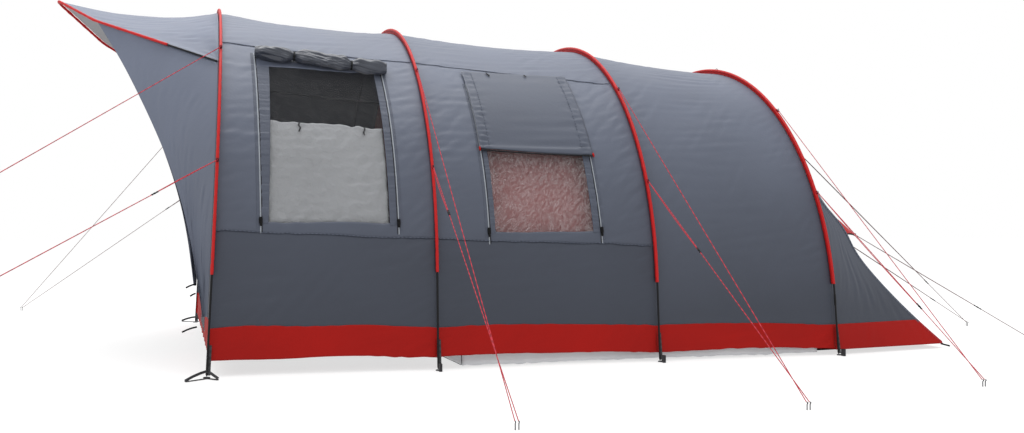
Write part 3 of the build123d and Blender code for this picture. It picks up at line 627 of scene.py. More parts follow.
def make_lines():
    for i in range(4):
        for side, name in SIDES:
            high = hoop_point(i, HIGH_CLIP[i], -RING_OUT, side)
            low = hoop_point(i, LOW_CLIP[i], -RING_OUT, side)
            if side < 0 and i == 0:
                ends = [(FRONT + x, side * y) for x, y in FRONT_PEGS]
            else:
                x, y = PEGS[name][i]
                ends = [(FRONT + x - PAIR, side * y), (FRONT + x + PAIR, side * y)]
            node = f"guys_near_{i + 1}" if side < 0 else "guys_far"
            own = f"runner_near_{i + 1}" if side < 0 else "runners_fixed"
            body = own if side < 0 else "root"
            make_line(f"line_{name}_{i + 1}_high", high, ends[0], node, red=side < 0)
            make_line(f"line_{name}_{i + 1}_low", low, ends[1], node, SHARE[i], own, body, red=side < 0)
    for side, name in SIDES:
        top = np.array([HOOP_X[3] + 0.0035, side * 0.300, HOOP_HEIGHT[3] - 0.030])
        middle = np.array([FRONT + 3.951, side * 0.470, 0.906])
        tip = hood_tip(side) + (HOOD_RING, 0, 0)
        for word, start, (x, y), share in (
                (f"rear_{name}_high", top, (REAR_PEG[0], REAR_PEG[1] - PAIR), 0.833),
                (f"rear_{name}_low", middle, (REAR_PEG[0], REAR_PEG[1] + PAIR), 0.80),
                (f"hood_{name}", tip, HOOD_PEG, 0.65)):
            make_line(f"line_{word}", start, (FRONT + x, side * y), "guys_rear", share, red=False)


make_lines()


def make_tabs():
    """Red webbing tabs sewn to the sleeves, each holding a guy ring."""
    for i in range(4):
        for side, word in SIDES:
            for z, row in ((HIGH_CLIP[i], "high"), (LOW_CLIP[i], "low")):
                inner, ring = hoop_point(i, z, 0.004, side), hoop_point(i, z, -RING_OUT, side)
                out = unit(ring - inner)
                end = ring - out * 0.0062
                centres = [inner + (end - inner) * k / 5 for k in range(6)]
                ribbon(f"guy_tab_{word}_{i + 1}_{row}", centres, np.cross(out, (1.0, 0, 0)), 0.016, 0.0030,
                       TAB, None, "webbing")
                band = [hoop_point(i, z + d, -0.0012, side) for d in (-0.010, -0.005, 0.0, 0.005, 0.010)]
                ribbon(f"guy_patch_{word}_{i + 1}_{row}", band, out, 0.013, 0.0022, TAB, None, "webbing")


make_tabs()


# ---- fly sheet --------------------------------------------------------------------------------
def fly_waves(bay, u, q):
    """How far the fly stands off its smooth shape, in metres."""
    length = HOOP_X[bay + 1] - HOOP_X[bay]
    x = u * length
    seed = 20 + 10 * bay
    tight = np.clip(np.minimum(x, length - x) / 0.05, 0, 1)  # smooth where it meets a sleeve
    pull = 0.0016 * ripple(x, q, 8, 9, 0.075, seed) * patches(x, q, 0.55, seed + 1)
    cross = 0.0011 * ripple(x, q, 48, 14, 0.070, seed + 2) * patches(x, q, 0.45, seed + 3)
    broad = 0.0030 * ripple(x, q, 15, 40, 0.60, seed + 4)
    edge = near_line(x, 0.16) + near_line(length - x, 0.16)
    gather = 0.0012 * edge * ripple(x, q, 25, 16, 0.045, seed + 5)
    if bay < 2:
        beside = sum(near_line(x - zip_x + HOOP_X[bay], 0.07) for zip_x in ZIP_X[bay])
        beside = beside * patches(x, q, 0.3, seed + 7)
        gather = gather + 0.0010 * beside * ripple(x, q, -42, 10, 0.038, seed + 6)
    return tight * (pull + cross + broad + gather)


def window_grid(bay, u, v, bottom, top, window):
    """Heights, shares and hole of a panel whose grid lines run along its window's edges."""
    (x0, x1), (z0, z1) = window
    rows, cols = len(v), len(u)
    rise, run = top.mean() - bottom.mean(), HOOP_X[bay + 1] - HOOP_X[bay]
    rows0, rows1 = [int(round((z - bottom.mean()) / rise * (rows - 1))) for z in (z0, z1)]
    cols0, cols1 = [int(round((x - HOOP_X[bay]) / run * (cols - 1))) for x in (x0, x1)]
    v0, v1, u0, u1 = v[rows0], v[rows1], u[cols0], u[cols1]
    z = np.where(v < v0, bottom + (z0 - bottom) * v / v0, z0 + (z1 - z0) * (v - v0) / (v1 - v0))
    z = np.where(v > v1, z1 + (top - z1) * (v - v1) / (1 - v1), z)
    left, right = share_at(bay, x0, z), share_at(bay, x1, z)
    share = np.where(u < u0, left * u / u0, left + (right - left) * (u - u0) / (u1 - u0))
    share = np.where(u > u1, right + (1 - right) * (u - u1) / (1 - u1), share)
    hole = np.zeros((rows - 1, cols - 1), bool)
    hole[rows0:rows1, cols0:cols1] = True
    return z, share, hole


def fly_panel(name, bay, low, high, node, material, rows, cols, side=None, window=None, slot="fly_cloth"):
    """One fly panel. low and high give its edges' heights; side None runs over the crown from near to far."""
    u, v = np.linspace(0, 1, cols), np.linspace(0, 1, rows)[:, None]
    bottom, top = low(bay, u)[None], high(bay, u)[None]
    share, hole = np.broadcast_to(u[None], (rows, cols)), None
    if side is None:
        q_low, q_high = -fly_length(bay, u, bottom), fly_length(bay, u, top)
        q = q_low + (q_high - q_low) * v
    else:
        z = bottom + (top - bottom) * v
        if window:
            z, share, hole = window_grid(bay, u, v, bottom, top, window)
        q = side * fly_length(bay, share, z)
    flat = fly_point(bay, share, q)
    points = fly_point(bay, share, q, fly_waves(bay, share, q))
    uv = np.stack([HOOP_X[bay] + share * (HOOP_X[bay + 1] - HOOP_X[bay]), np.abs(q) if side else q], -1)
    if side == 1:  # keeps the outside of the cloth facing out
        points, flat, uv = points[::-1], flat[::-1], uv[::-1]
    cloth(name, points, flat, material, node, slot, hole, uv=uv, lining=None if material is RED else DARK)


def make_fly():
    hem, band, low, top = level(HEM, SWAG), level(BAND, SWAG), level(LOW_SEAM), level(TOP_SEAM)
    for bay in (0, 1):
        k = bay + 1
        fly_panel(f"roof_cloth_{k}", bay, top, top, f"fly_roof_{k}", FLY, 150, 90)
        fly_panel(f"side_cloth_near_{k}", bay, low, top, f"fly_side_near_{k}", FLY, 90, 100, side=-1,
                  window=(WINDOW_X[bay], WINDOW_Z[bay]))
        fly_panel(f"side_cloth_far_{k}", bay, low, top, f"fly_side_far_{k}", FLY, 80, 80, side=1)
        for side, word in SIDES:
            fly_panel(f"lower_cloth_{word}_{k}", bay, band, low, f"lower_wall_{word}", LOWER, 46, 90,
                      side=side)
    fly_panel("bay_cloth_3", 2, band, band, "fly_bay_3", BAY3, 300, 90)
    for bay in range(3):
        for side, word in SIDES:
            fly_panel(f"mud_flap_cloth_{word}_{bay + 1}", bay, hem, band, f"mud_flap_{word}", RED, 16, 90,
                      side=side, slot="red_cloth")


def rear_band_share(a):
    """The share t at which the rear panel crosses the top of the mud flap band."""
    t = np.full_like(a, 0.85)
    for _ in range(12):
        p = rear_point(a, t)
        t = t + (p[..., 2] - plane_z(BAND, p[..., 0])) / 1.75
    return t


def corner_panel(name, side, low, high, rows, node, slot, material):
    """Part of a rear corner panel, from the last hoop's leg to the ridge."""
    z, u = np.linspace(low, high, rows)[:, None], np.linspace(0, 1, 60)[None]
    legs = np.stack([hoop_point(3, row[0], SLEEVE_DEPTH, side) + (0.0005, 0, 0) for row in z])[:, None]
    points = legs * (1 - u[..., None]) + rear_ridge(z, side) * u[..., None]
    wave = 0.002 * ripple(u * 0.8, z, 55, 12, 0.07, 61) * patches(u, z, 0.4, 62) * np.sin(math.pi * u)
    shaped = points + wave[..., None] * np.array([0, side, 0])
    if material is RED:  # its hem rises to meet the last side panel's
        rise = plane_z(HEM, HOOP_X[3])
        lift = np.clip((rise - z) / rise, 0, 1) * (1 - u) * (rise - REAR_HEM_Z)
        shaped[..., 2] += lift * np.clip(1 - (z - REAR_HEM_Z) / 0.15, 0, 1)
    cloth(name, shaped, points, material, node, slot, lining=None if material is RED else DARK)


def make_rear():
    a = np.linspace(-1, 1, 170)
    split = rear_band_share(a)
    for name, start, end, rows, material, node, slot, lining in (
            ("rear_cloth", 0, split, 110, BAY3, "rear_panel", "fly_cloth", DARK),
            ("mud_flap_cloth_rear", split, 1, 10, RED, "mud_flap_rear", "red_cloth", None)):
        v = np.linspace(0, 1, rows)[:, None]
        points = rear_point(np.broadcast_to(a, (rows, 170)), start + (end - start) * v)
        cloth(name, points[:, ::-1], points, material, node, slot, lining=lining)
    middle = BAND[0] - 0.061  # where the grey cloth meets the red
    for side, word in SIDES:
        corner_panel(f"corner_cloth_{word}", side, middle, 0.948, 60, "rear_corner_panels", "fly_cloth", BAY3)
        corner_panel(f"mud_flap_cloth_{word}_4", side, REAR_HEM_Z, middle, 14, f"mud_flap_{word}",
                     "red_cloth", RED)


def make_ridges():
    """The seam along each rear ridge, grey down to the mud flap and red below it."""
    for side, word in SIDES:
        split = float(rear_band_share(np.array([1.0 * side]))[0])
        for part, t, material in (("grey", np.linspace(0.004, split, 60), STITCH),
                                  ("red", np.linspace(split, 0.995, 12), TAB)):
            edge = rear_point(np.full(len(t), 1.0 * side), t, rough=False)
            corner = rear_ridge(edge[:, 2], side)
            gap = np.linalg.norm(edge - corner, axis=1)
            out = np.array([0.6, 0.7 * side, 0.3])
            ribbon(f"ridge_seam_{word}_{part}", (edge + corner) / 2 + out * 0.002, out, gap + 0.014, 0.002,
                   material, None, "fly_cloth")


make_fly()
make_rear()
make_ridges()


# ---- pole sleeves -----------------------------------------------------------------------------
SLEEVE_OUTLINE = [  # across half width, depth from the outer edge
    (0.0, 0.0), (0.0045, 0.0010), (0.0074, 0.0044), (0.0080, 0.0090), (0.0070, 0.0138),
    (0.0040, 0.0180), (0.0020, 0.0225), (0.0014, 0.0280), (0.0013, 0.0328)]


def make_sleeves():
    outline = SLEEVE_OUTLINE + [(-a, d) for a, d in SLEEVE_OUTLINE[:0:-1]]
    for i in range(4):
        reach = float(arch_length(HOOP_HALF[i], HOOP_HEIGHT[i], HOOP_LEAN[i], 0.0, SLEEVE_LOW[i]))
        q = np.linspace(-reach, reach, 420)
        ahead = np.array([math.cos(HOOP_LEAN[i]), 0.0, -math.sin(HOOP_LEAN[i])])
        coarse, fine, slow = [ripple(q, q * 0, 90, 20, length, seed + i)
                              for length, seed in ((0.06, 40), (0.022, 50), (0.05, 60))]
        puff = 1 + 0.07 * coarse + 0.05 * fine
        sway = 0.0006 * slow
        rings = []
        for a, d in outline:
            shift = a * np.clip(puff, 0.85, 1.04) + sway * (d / SLEEVE_DEPTH)
            rings.append(hoop_arc(i, d, q * (1 - d / 1.6)) + shift[:, None] * ahead)
        skin(f"sleeve_cloth_{i + 1}", np.stack(rings, 1), (q, np.linspace(0, 0.09, len(outline))), RED_SLEEVE,
             f"hoop_sleeve_{i + 1}")


make_sleeves()


# ---- porch ------------------------------------------------------------------------------------
VISOR_ROOT = (0.060, 1.102, 1.625)
VISOR_KNEE = (-0.600, 0.400, 1.935)
VISOR_TIP = (-0.858, 0.0, 2.128)
VISOR_BENDS = (0.420, 0.120, 0.420)  # radii
# The wings: heights down the first hoop, and points down each free edge, far ahead, out and up.
WING_HOOP_Z = [0.290, 0.640, 0.960, 1.290, 1.480, 1.600]
WING_FREE = [(0.018, 1.505, 0.290), (0.070, 1.385, 0.640), (0.178, 1.090, 1.060),
             (0.350, 0.750, 1.480), (0.498, 0.505, 1.770), (0.588, 0.406, 1.912)]


def smooth_through(points, samples):
    """A smooth curve through a few points, at evenly shared parameters."""
    points = np.asarray(points, float)
    t = run_along(points)
    t /= t[-1]
    n = len(points)
    h = np.diff(t)
    system, right = np.zeros((n, n)), np.zeros((n, 3))
    system[0, 0] = system[-1, -1] = 1
    for i in range(1, n - 1):
        system[i, i - 1:i + 2] = h[i - 1], 2 * (h[i - 1] + h[i]), h[i]
        right[i] = 6 * ((points[i + 1] - points[i]) / h[i] - (points[i] - points[i - 1]) / h[i - 1])
    bend = np.linalg.solve(system, right)
    s = np.linspace(0, 1, samples)
    k = np.clip(np.searchsorted(t, s) - 1, 0, n - 2)
    a, b, hk = (t[k + 1] - s)[:, None], (s - t[k])[:, None], h[k][:, None]
    return (bend[k] * a ** 3 + bend[k + 1] * b ** 3) / (6 * hk) + (points[k] / hk - bend[k] * hk / 6) * a + (
        points[k + 1] / hk - bend[k + 1] * hk / 6) * b


def visor_path(samples):
    """The visor pole's line: straight runs joined by bends."""
    corners = [np.array([FRONT + x, side * y, z]) for side, (x, y, z) in (
        (-1, VISOR_ROOT), (-1, VISOR_KNEE), (1, VISOR_TIP), (1, VISOR_KNEE), (1, VISOR_ROOT))]
    points = [corners[0]]
    for before, corner, after, radius in zip(corners, corners[1:], corners[2:], VISOR_BENDS):
        back, on = unit(before - corner), unit(after - corner)
        half = math.acos(float(back @ on)) / 2
        centre = corner + unit(back + on) * radius / math.sin(half)
        start = corner + back * radius / math.tan(half) - centre
        side = unit((corner - centre) - start * float((corner - centre) @ start) / radius ** 2) * radius
        sweep = math.pi - 2 * half
        points += [centre + start * math.cos(a) + side * math.sin(a) for a in np.linspace(0, sweep, 14)]
    points.append(corners[-1])
    points = np.array(points)
    along = run_along(points)
    s = np.linspace(0, along[-1], samples)
    return np.stack([np.interp(s, along, points[:, k]) for k in range(3)], -1)


def canopy_points(rows, cols):
    path = visor_path(cols)
    aim = np.stack([np.full(cols, FRONT + 0.300), np.zeros(cols), path[:, 2]], -1) - path
    edge = path + aim / np.linalg.norm(aim, axis=1)[:, None] * 0.0155 - (0, 0, 0.001)
    share = np.linspace(-1, 1, cols)
    arch = arch_at(0, 0.027, VISOR_ROOT[2], share, -SEAM_GAP)
    t = np.linspace(0, 1, rows)[:, None, None]
    sag = np.stack([np.zeros(cols), np.zeros(cols), -0.043 * np.sin(math.pi * (share + 1) / 2)], -1)
    points = arch * (1 - t) + edge * t + sag * 4 * t * (1 - t)
    a, b = np.broadcast_to(share * 1.3, (rows, cols)), np.broadcast_to(t[..., 0], (rows, cols))
    wave = 0.0022 * ripple(a, b, 80, 18, 0.09, 71) * patches(a, b, 0.5, 72)
    wave = wave + 0.003 * ripple(a, b, 60, 40, 0.5, 73)
    wave = wave * np.clip(np.minimum(b, 1 - b) * 14, 0, 1) * np.clip((1.3 - np.abs(a)) * 10, 0, 1)
    return points, points + wave[..., None] * np.array([0, 0, 1.0])


def wing_points(side, rows, cols):
    hoop = np.stack([hoop_point(0, z, SLEEVE_DEPTH + 0.004, side) - (SEAM_GAP, 0, 0) for z in WING_HOOP_Z])
    reach = 0.88 if side > 0 else 1.0  # the far wing reaches out less
    free = np.array([(FRONT - x * reach, side * y, z) for x, y, z in WING_FREE])
    a, b = smooth_through(hoop, rows)[:, None], smooth_through(free, rows)[:, None]
    t = np.linspace(0, 1, cols)[None, :, None]
    points = a * (1 - t) + b * t + np.array([0, -side * 0.018, 0]) * 4 * t * (1 - t)
    share = np.linspace(0, 1, rows)[:, None, None]
    points = points + np.array([0, 0, 0.022]) * share ** 10
    u, v = t[..., 0], np.linspace(0, 1.7, rows)[:, None]
    wave = 0.0026 * ripple(u, v, -52, 12, 0.075, 81) * patches(u, v, 0.4, 82)
    wave = wave + 0.004 * ripple(u, v, -40, 30, 0.5, 83)
    wave = wave * np.clip(u * 9, 0, 1) * np.clip((1 - u) * 14, 0.15, 1)
    wave = wave * np.clip(np.minimum(v, 1.7 - v) * 8, 0, 1)
    return points, points + wave[..., None] * np.array([0, side, 0.3])


def make_porch():
    flat, points = canopy_points(70, 150)
    # its underside takes the pale painted-light material
    cloth("visor_cloth", points, flat, PORCH, "visor_canopy", "porch_cloth", lining=UNDERSIDE_GLOW)
    for side, word in SIDES:
        flat, points = wing_points(side, 110, 60)
        points = points if side < 0 else points[:, ::-1]
        cloth(f"wing_cloth_{word}", points, flat, PORCH, f"wing_{word}", "porch_cloth", lining=PORCH)
    path = visor_path(360)
    centre = path[path[:, 0] < FRONT - 0.190]
    puff = 0.0078 + 0.0006 * ripple(centre[:, 1], centre[:, 0], 90, 50, 0.05, 77)
    tube_between("visor_sleeve_cloth", centre, puff, RED_SLEEVE, "visor_sleeve", sides=14)


make_porch()


# ---- front wall, door and inner tent ----------------------------------------------------------
DOOR_HALF, DOOR_TOP, DOOR_SILL = 0.430, 1.640, 0.110
DOOR_RISE = 0.1935  # of the arch over the door
SKIRT = (0.072, 0.234)  # heights of the red strip along the front wall's foot
FRONT_INSET, INNER_INSET = 0.039, 0.131  # from the hoop line in to the front wall and to the inner tent
FLOOR_TOP = 0.007


def half_width(i, inset, z):
    """Half the width, at height z, of an upright arch that stands inside hoop i."""
    q = arch_length(HOOP_HALF[i], HOOP_HEIGHT[i], 0, inset, z)
    return arch_point(0, HOOP_HALF[i], HOOP_HEIGHT[i], 0, inset, q)[..., 1]


def wall_grid(i, inset, low, high, rows, cols):
    """A grid of points across such an arch, (y, z), from low to high."""
    z = np.linspace(low, high, rows)
    y = np.linspace(-1, 1, cols)[None] * half_width(i, inset, z)[:, None]
    return y, np.broadcast_to(z[:, None], (rows, cols))


def middles(values):
    """The middle of each cell of a grid of numbers."""
    return (values[1:, 1:] + values[:-1, :-1]) / 2


def on_front(y, z, back):
    """Points on the front wall, which leans as the first hoop does."""
    lean = HOOP_LEAN[0]
    return np.stack([HOOP_X[0] + 0.013 + z * math.sin(lean) + back, y, z * math.cos(lean)], -1)


def door_arch(y, gap=0.0, half=DOOR_HALF):
    return DOOR_TOP - gap - DOOR_RISE * (y / half) ** 2


def make_front_wall():
    for name, low, high, rows, material, slot, lining in (
            ("front_wall_cloth", SKIRT[1], 2.058, 150, PORCH, "porch_cloth", DARK),
            ("front_skirt_cloth", SKIRT[0], SKIRT[1], 14, RED, "red_cloth", None)):
        y, z = wall_grid(0, FRONT_INSET, low, high, rows, 200)
        wave = 0.003 * ripple(y, z, 70, 20, 0.16, 101)
        wave = wave + 0.0015 * ripple(y, z, 40, 20, 0.06, 102) * patches(y, z, 0.5, 103)
        wave = np.minimum(wave, 0.0055) * np.clip((half_width(0, FRONT_INSET, z) - np.abs(y)) * 20, 0, 1)
        beside = np.abs(np.abs(y) - DOOR_HALF)
        wave = wave * np.where(z < 1.68, np.clip(beside * 30, 0, 1), 1)
        points = on_front(y, z, wave)
        across, up = middles(y), middles(z)
        hole = (np.abs(across) < DOOR_HALF) & (up > DOOR_SILL) & (up < door_arch(across))
        cloth(name, points, points, material, "front_wall", slot, hole, lining=lining)


def make_door():
    """The door's cloth, and the zip round it, which covers the gap."""
    edge = DOOR_HALF - 0.002
    y, z = np.meshgrid(np.linspace(-edge, edge, 60), np.linspace(0, 1, 100))
    z = DOOR_SILL + 0.003 + (door_arch(y, 0.003) - DOOR_SILL - 0.003) * z
    wave = np.clip(0.002 * ripple(y, z, 75, 15, 0.12, 105), -0.004, 0.004)
    points = on_front(y, z, wave * np.clip((edge - np.abs(y)) * 20, 0, 1))
    cloth("door_cloth", points, points, PORCH, "door_panel", "porch_cloth", held="hung", body="door_panel",
          lining=DARK)
    edge = DOOR_HALF - 0.001
    rise = np.linspace(0.115, 1.4455, 60)
    arc = np.linspace(-edge, edge, 60)[1:-1]
    y = np.concatenate([np.full(60, -edge), arc, np.full(60, edge)])
    z = np.concatenate([rise, door_arch(arc, 0.0015, edge), rise[::-1]])
    ribbon("door_zip", on_front(y, z, -0.0050), (-1.0, 0.0, 0.0), 0.011, 0.0016, STITCH, None, "zip")


def make_inner_tent():
    start, end = FRONT + INNER_START, HOOP_X[3] - 0.060
    x = np.linspace(start, end, 90)
    mix = np.interp(x, [start, HOOP_X[2], end], [1, 2, 3])
    half, height = [np.interp(mix, [1, 2, 3], sizes[1:]) for sizes in (HOOP_HALF, HOOP_HEIGHT)]
    reach = arch_length(half, height, 0.0, INNER_INSET, FLOOR_TOP)
    q = np.linspace(-1, 1, 220)[:, None] * reach[None]
    wave = np.abs(0.003 * ripple(x[None] + 0 * q, q, 80, 20, 0.14, 111))
    points = arch_point(np.broadcast_to(x, q.shape), half[None], height[None], 0.0, INNER_INSET + wave, q)
    rows = 16  # of the pale lower cloth, on each side
    for name, part, material in (("inner_tent_cloth", points[rows:-rows], INNER),
                                 ("inner_bathtub_near", points[:rows + 1], BATHTUB),
                                 ("inner_bathtub_far", points[-rows - 1:], BATHTUB)):
        cloth(name, part, part, material, "inner_tent_body", "inner_cloth", held="hung")


def make_inner_front():
    """The inner tent's front, with its doorway."""
    y, z = wall_grid(1, INNER_INSET, FLOOR_TOP, 1.900, 150, 170)
    wave = np.clip(0.003 * ripple(y, z, 80, 15, 0.16, 112), -0.005, 0.005)
    points = np.stack([FRONT + INNER_START - 0.0045 + wave * 0.4, y, z], -1)
    across, up = middles(y), middles(z)
    rows = 12  # of the pale lower cloth
    hole = ((np.abs(across) < 0.55) & (up > 0.16) & (up < 1.56))[rows:]
    upper, lower = points[rows:], points[:rows + 1]
    cloth("inner_front_cloth", upper, upper, INNER, "inner_tent_front", "inner_cloth", hole, held="hung")
    cloth("inner_bathtub_front", lower, lower, BATHTUB, "inner_tent_front", "inner_cloth", held="hung")


def make_groundsheet():
    low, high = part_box("groundsheet")
    x, y = np.meshgrid(np.linspace(low.x, high.x, 90), np.linspace(low.y + 0.02, high.y - 0.02, 90))
    z = 0.0016 + 0.0009 * np.clip(ripple(x, y, 30, 60, 0.35, 113), -1, 1)
    taper = np.clip((x - HOOP_X[3]) / (high.x - HOOP_X[3]), 0, 1) * 0.04
    points = np.stack([x, y * (1 - taper), z], -1)
    cloth("groundsheet_cloth", points, points, FLOOR_CLOTH, "groundsheet", "groundsheet", held="laid",
          thick=0.0008)


make_front_wall()
make_door()
make_inner_tent()
make_inner_front()
make_groundsheet()


# ---- windows ----------------------------------------------------------------------------------
def wall_line(bay, x, z, out, wavy=True):
    """Points and outward normals on the near wall along arrays of x and z."""
    x, z = np.broadcast_arrays(np.asarray(x, float), np.asarray(z, float))
    u = share_at(bay, x, z)
    q = -fly_length(bay, u, z)
    if wavy:
        out = out + fly_waves(bay, u, q)
    base = fly_point(bay, u, q, out)
    return base, (fly_point(bay, u, q, out + 0.01) - base) / 0.01


def strip(name, bay, x, z, width, thick, out, *looks):
    """A ribbon on the near wall."""
    ribbon(name, *wall_line(bay, x, z, out), width, thick, *looks)


FILM_IN, CURTAIN_IN = 0.0035, 0.017  # from the wall in to a film and to the curtain


def make_film(bay):
    (x0, x1), (z0, z1) = WINDOW_X[bay], WINDOW_Z[bay]
    x, z = np.meshgrid(np.linspace(x0 - 0.004, x1 + 0.004, 70), np.linspace(z0 - 0.004, z1 + 0.004, 90))
    crinkle = 0.0012 * ripple(x, z, 35, 60, 0.07, 121 + bay) * patches(x, z, 0.2, 123 + bay)
    crinkle += 0.0004 * ripple(x, z, 60, 70, 0.025, 125 + bay)
    points, normal = wall_line(bay, x, z, -FILM_IN)
    cloth(f"film_{bay + 1}", points + crinkle[..., None] * normal, points, FILM if bay else FILM_CLEAR,
          "window_films", "film", thick=0.0006)


def make_windows():
    """The films, and beside each its two zips, with cloth on both sides of the tape."""
    for bay in (0, 1):
        make_film(bay)
        low, high = ZIP_Z[bay]
        for word, inward, zip_x, edge in zip(("front", "rear"), (1, -1), ZIP_X[bay], WINDOW_X[bay]):
            z = np.linspace(low, high, 70)
            name = f"{bay + 1}_{word}"
            strip(f"zip_tape_{name}", bay, zip_x, z, 0.0065, 0.0012, 0.0012, ZIP_TAPE, "window_zips", "zip")
            beside = np.linspace(WINDOW_Z[bay][0] - 0.012, WINDOW_Z[bay][1], 80)
            rise = (beside - beside[0]) / (beside[-1] - beside[0])
            inner = edge + (0.036 * rise if bay == 0 and word == "front" else 0)
            outer = zip_x + 0.005 * inward
            pucker = 0.0024 + 0.0014 * np.sin(beside * 260 + 2 * np.sin(beside * 41))
            strip(f"window_trim_{name}", bay, (inner + outer) / 2, beside, np.abs(inner - outer) + 0.002,
                  pucker, 0.0014, TRIM, None, "fly_cloth")
            # a black strip along the tape's edge: painted shadow
            strip(f"zip_shade_{name}", bay, zip_x + 0.0065 * inward, z, 0.004, 0.0008, 0.0030,
                  SHADOW_STRIP, None, "webbing")
            strip(f"zip_guard_{name}", bay, zip_x - 0.013 * inward, np.linspace(low + 0.02, high, 70), 0.014,
                  0.0018, 0.0012, TRIM, None, "fly_cloth")


def make_curtain():
    (x0, x1), (sill, _) = WINDOW_X[0], WINDOW_Z[0]
    x, share = np.meshgrid(np.linspace(x0, x1, 60), np.linspace(0, 1, 60))
    z = sill + share * (1.325 - 0.075 * (x - x0) - sill)
    wave = 0.0016 * ripple(x, z, 30, 50, 0.07, 131) + 0.0012 * ripple(x, z, -40, 50, 0.03, 132)
    points, normal = wall_line(0, x, z, -CURTAIN_IN)
    cloth("curtain_cloth", points + wave[..., None] * normal, points, CURTAIN, "window_curtain", "curtain",
          thick=0.0008, held="hung")
    for k, (at, top, drop) in enumerate(((FRONT + 0.475, 1.300, 0.055), (FRONT + 0.815, 1.275, 0.040))):
        z = np.linspace(top, top - drop, 9)
        strip(f"curtain_tie_{k + 1}", 0, at + 0.004 * np.sin(z * 160), z, 0.009, 0.0015, -0.008,
              WEBBING, None, "webbing")


ROLL_X = (FRONT + 0.262, FRONT + 0.984)
ROLL_OUT, ROLL_THICK = 0.034, 0.037
ROLL_TIES = (FRONT + 0.474, FRONT + 0.789)


def make_blind_roll():
    """The rolled-up blind: a soft bundle, drawn in where its two ties go round it."""
    x = np.linspace(*ROLL_X, 180)
    z = plane_z(TOP_SEAM, x) - 0.078 - 0.035 * (x - x[0])
    centres, normals = wall_line(0, x, z, ROLL_OUT)
    pinch = sum(near_line(x - tie, 0.028) for tie in ROLL_TIES)
    ends = 0.35 * near_line(x - x[0], 0.03) + 0.3 * near_line(x - x[-1], 0.03)
    thick = ROLL_THICK * (1 - 0.46 * pinch) * (1 - ends)
    turn = np.linspace(0, 2 * math.pi, 64, endpoint=False)
    tangent = unit(centres[-1] - centres[0])
    side = np.cross(tangent, normals)
    a, b = np.meshgrid(turn, x)
    folds = 1 + 0.13 * np.sin(3 * a + 5 * b + 2 * np.sin(9 * b)) * (1 - pinch[:, None] * 0.5)
    folds += 0.10 * np.abs(np.sin(4.5 * a + 7 * b + 1.6 * np.sin(13 * b + a))) - 0.05
    folds += 0.07 * ripple(a * 0.3, b, 15, 30, 0.08, 141)
    gathers = np.sin(26 * (b - b[:1]) + 2 * np.sin(2 * a)) * near_line(np.cos(a) - 1, 1.2)
    folds += 0.10 * gathers * (0.4 + pinch[:, None])
    radius = thick[:, None] * folds
    out, up = [radius[..., None] * f(a)[..., None] for f in (np.cos, np.sin)]
    points = centres[:, None] + out * normals[:, None] * 0.86 + up * side[:, None] * 1.12
    skin("blind_roll_cloth", points, (x, turn * 0.04), ROLL, "blind_roll")
    for k, tie in enumerate(ROLL_TIES):
        i = int(np.argmin(abs(x - tie)))
        across, up = np.cos(turn)[:, None], np.sin(turn)[:, None]
        loop = centres[i] + thick[i] * 1.14 * (normals[i] * across * 0.92 + side[i] * up * 1.18)
        loop = np.concatenate([loop, loop[:3]])
        ribbon(f"blind_tie_{k + 1}", loop, loop - centres[i], 0.010, 0.0018, WEBBING, None, "webbing")


FLAP_OUT = 0.014  # from the wall out to the blind


def on_flap(x, z, out):
    """Points and outward normals over the rear window's blind."""
    return wall_line(1, x, z, out, wavy=False)


def make_blind_flap():
    """The blind that hangs down outside the rear window, with its seams, hem, ties and pulls, and a black
    tube under its hem as painted shadow.
    """
    low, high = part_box("blind_flap")
    x, z = np.meshgrid(np.linspace(low.x, high.x, 90), np.linspace(low.z, high.z, 80))
    along = (x - low.x) / (high.x - low.x)
    z = z - (0.020 * along + 0.004 * np.sin(math.pi * along)) * (high.z - z) / (high.z - low.z)
    edge = near_line(x - low.x - 0.035, 0.03) + near_line(high.x - 0.035 - x, 0.03)
    wave = 0.0018 * ripple(x, z, 4, 8, 0.09, 151) * patches(x, z, 0.4, 152)
    wave = wave + 0.0022 * edge * ripple(x, z, -15, 22, 0.028, 153)
    roll = 0.006 * near_line(z - low.z, 0.02)
    flat, _ = on_flap(x, z, FLAP_OUT)
    points, _ = on_flap(x, z, FLAP_OUT + np.clip(wave, -0.004, 0.006) + roll)
    cloth("blind_flap_cloth", points, flat, FLAP, "blind_flap", "fly_cloth", held="hung", body="blind_flap")
    down = np.linspace(low.z + 0.01, high.z - 0.01, 60)
    for k, at in enumerate((low.x + 0.055, high.x - 0.055)):
        ribbon(f"flap_seam_{k + 1}", *on_flap(at, down, 0.0158), 0.004, 0.0012, STITCH, None, "fly_cloth",
               "blind_flap")
    # a black tube under the hem: painted shadow of the blind's lower edge
    hem, _ = on_flap(x[0], z[0] - 0.006, 0.017)
    tube_between("flap_hem_shadow", hem, 0.0060, SHADOW_STRIP, None, "blind_flap", flatten=0.6)
    for k, (at, drop) in enumerate(((low.x + 0.16, 0.022), (low.x + 0.40, 0.012))):
        down = np.linspace(high.z - 0.010, high.z - 0.010 - drop, 7)
        ribbon(f"flap_tie_{k + 1}", *on_flap(at + 0.006 * np.sin(down * 150), down, 0.020), 0.010, 0.0020,
               WEBBING, None, "webbing", "blind_flap")
    for k, (at, fall) in enumerate(((low.x - 0.004, 0.0), (high.x + 0.004, 0.022))):
        middle, _ = on_flap(at, np.linspace(low.z - 0.012, low.z + 0.012, 5) - fall, 0.018)
        radii = [0.003, 0.0055, 0.006, 0.0055, 0.003]
        tube_between(f"flap_pull_{k + 1}", middle, radii, RED, None, "blind_flap")


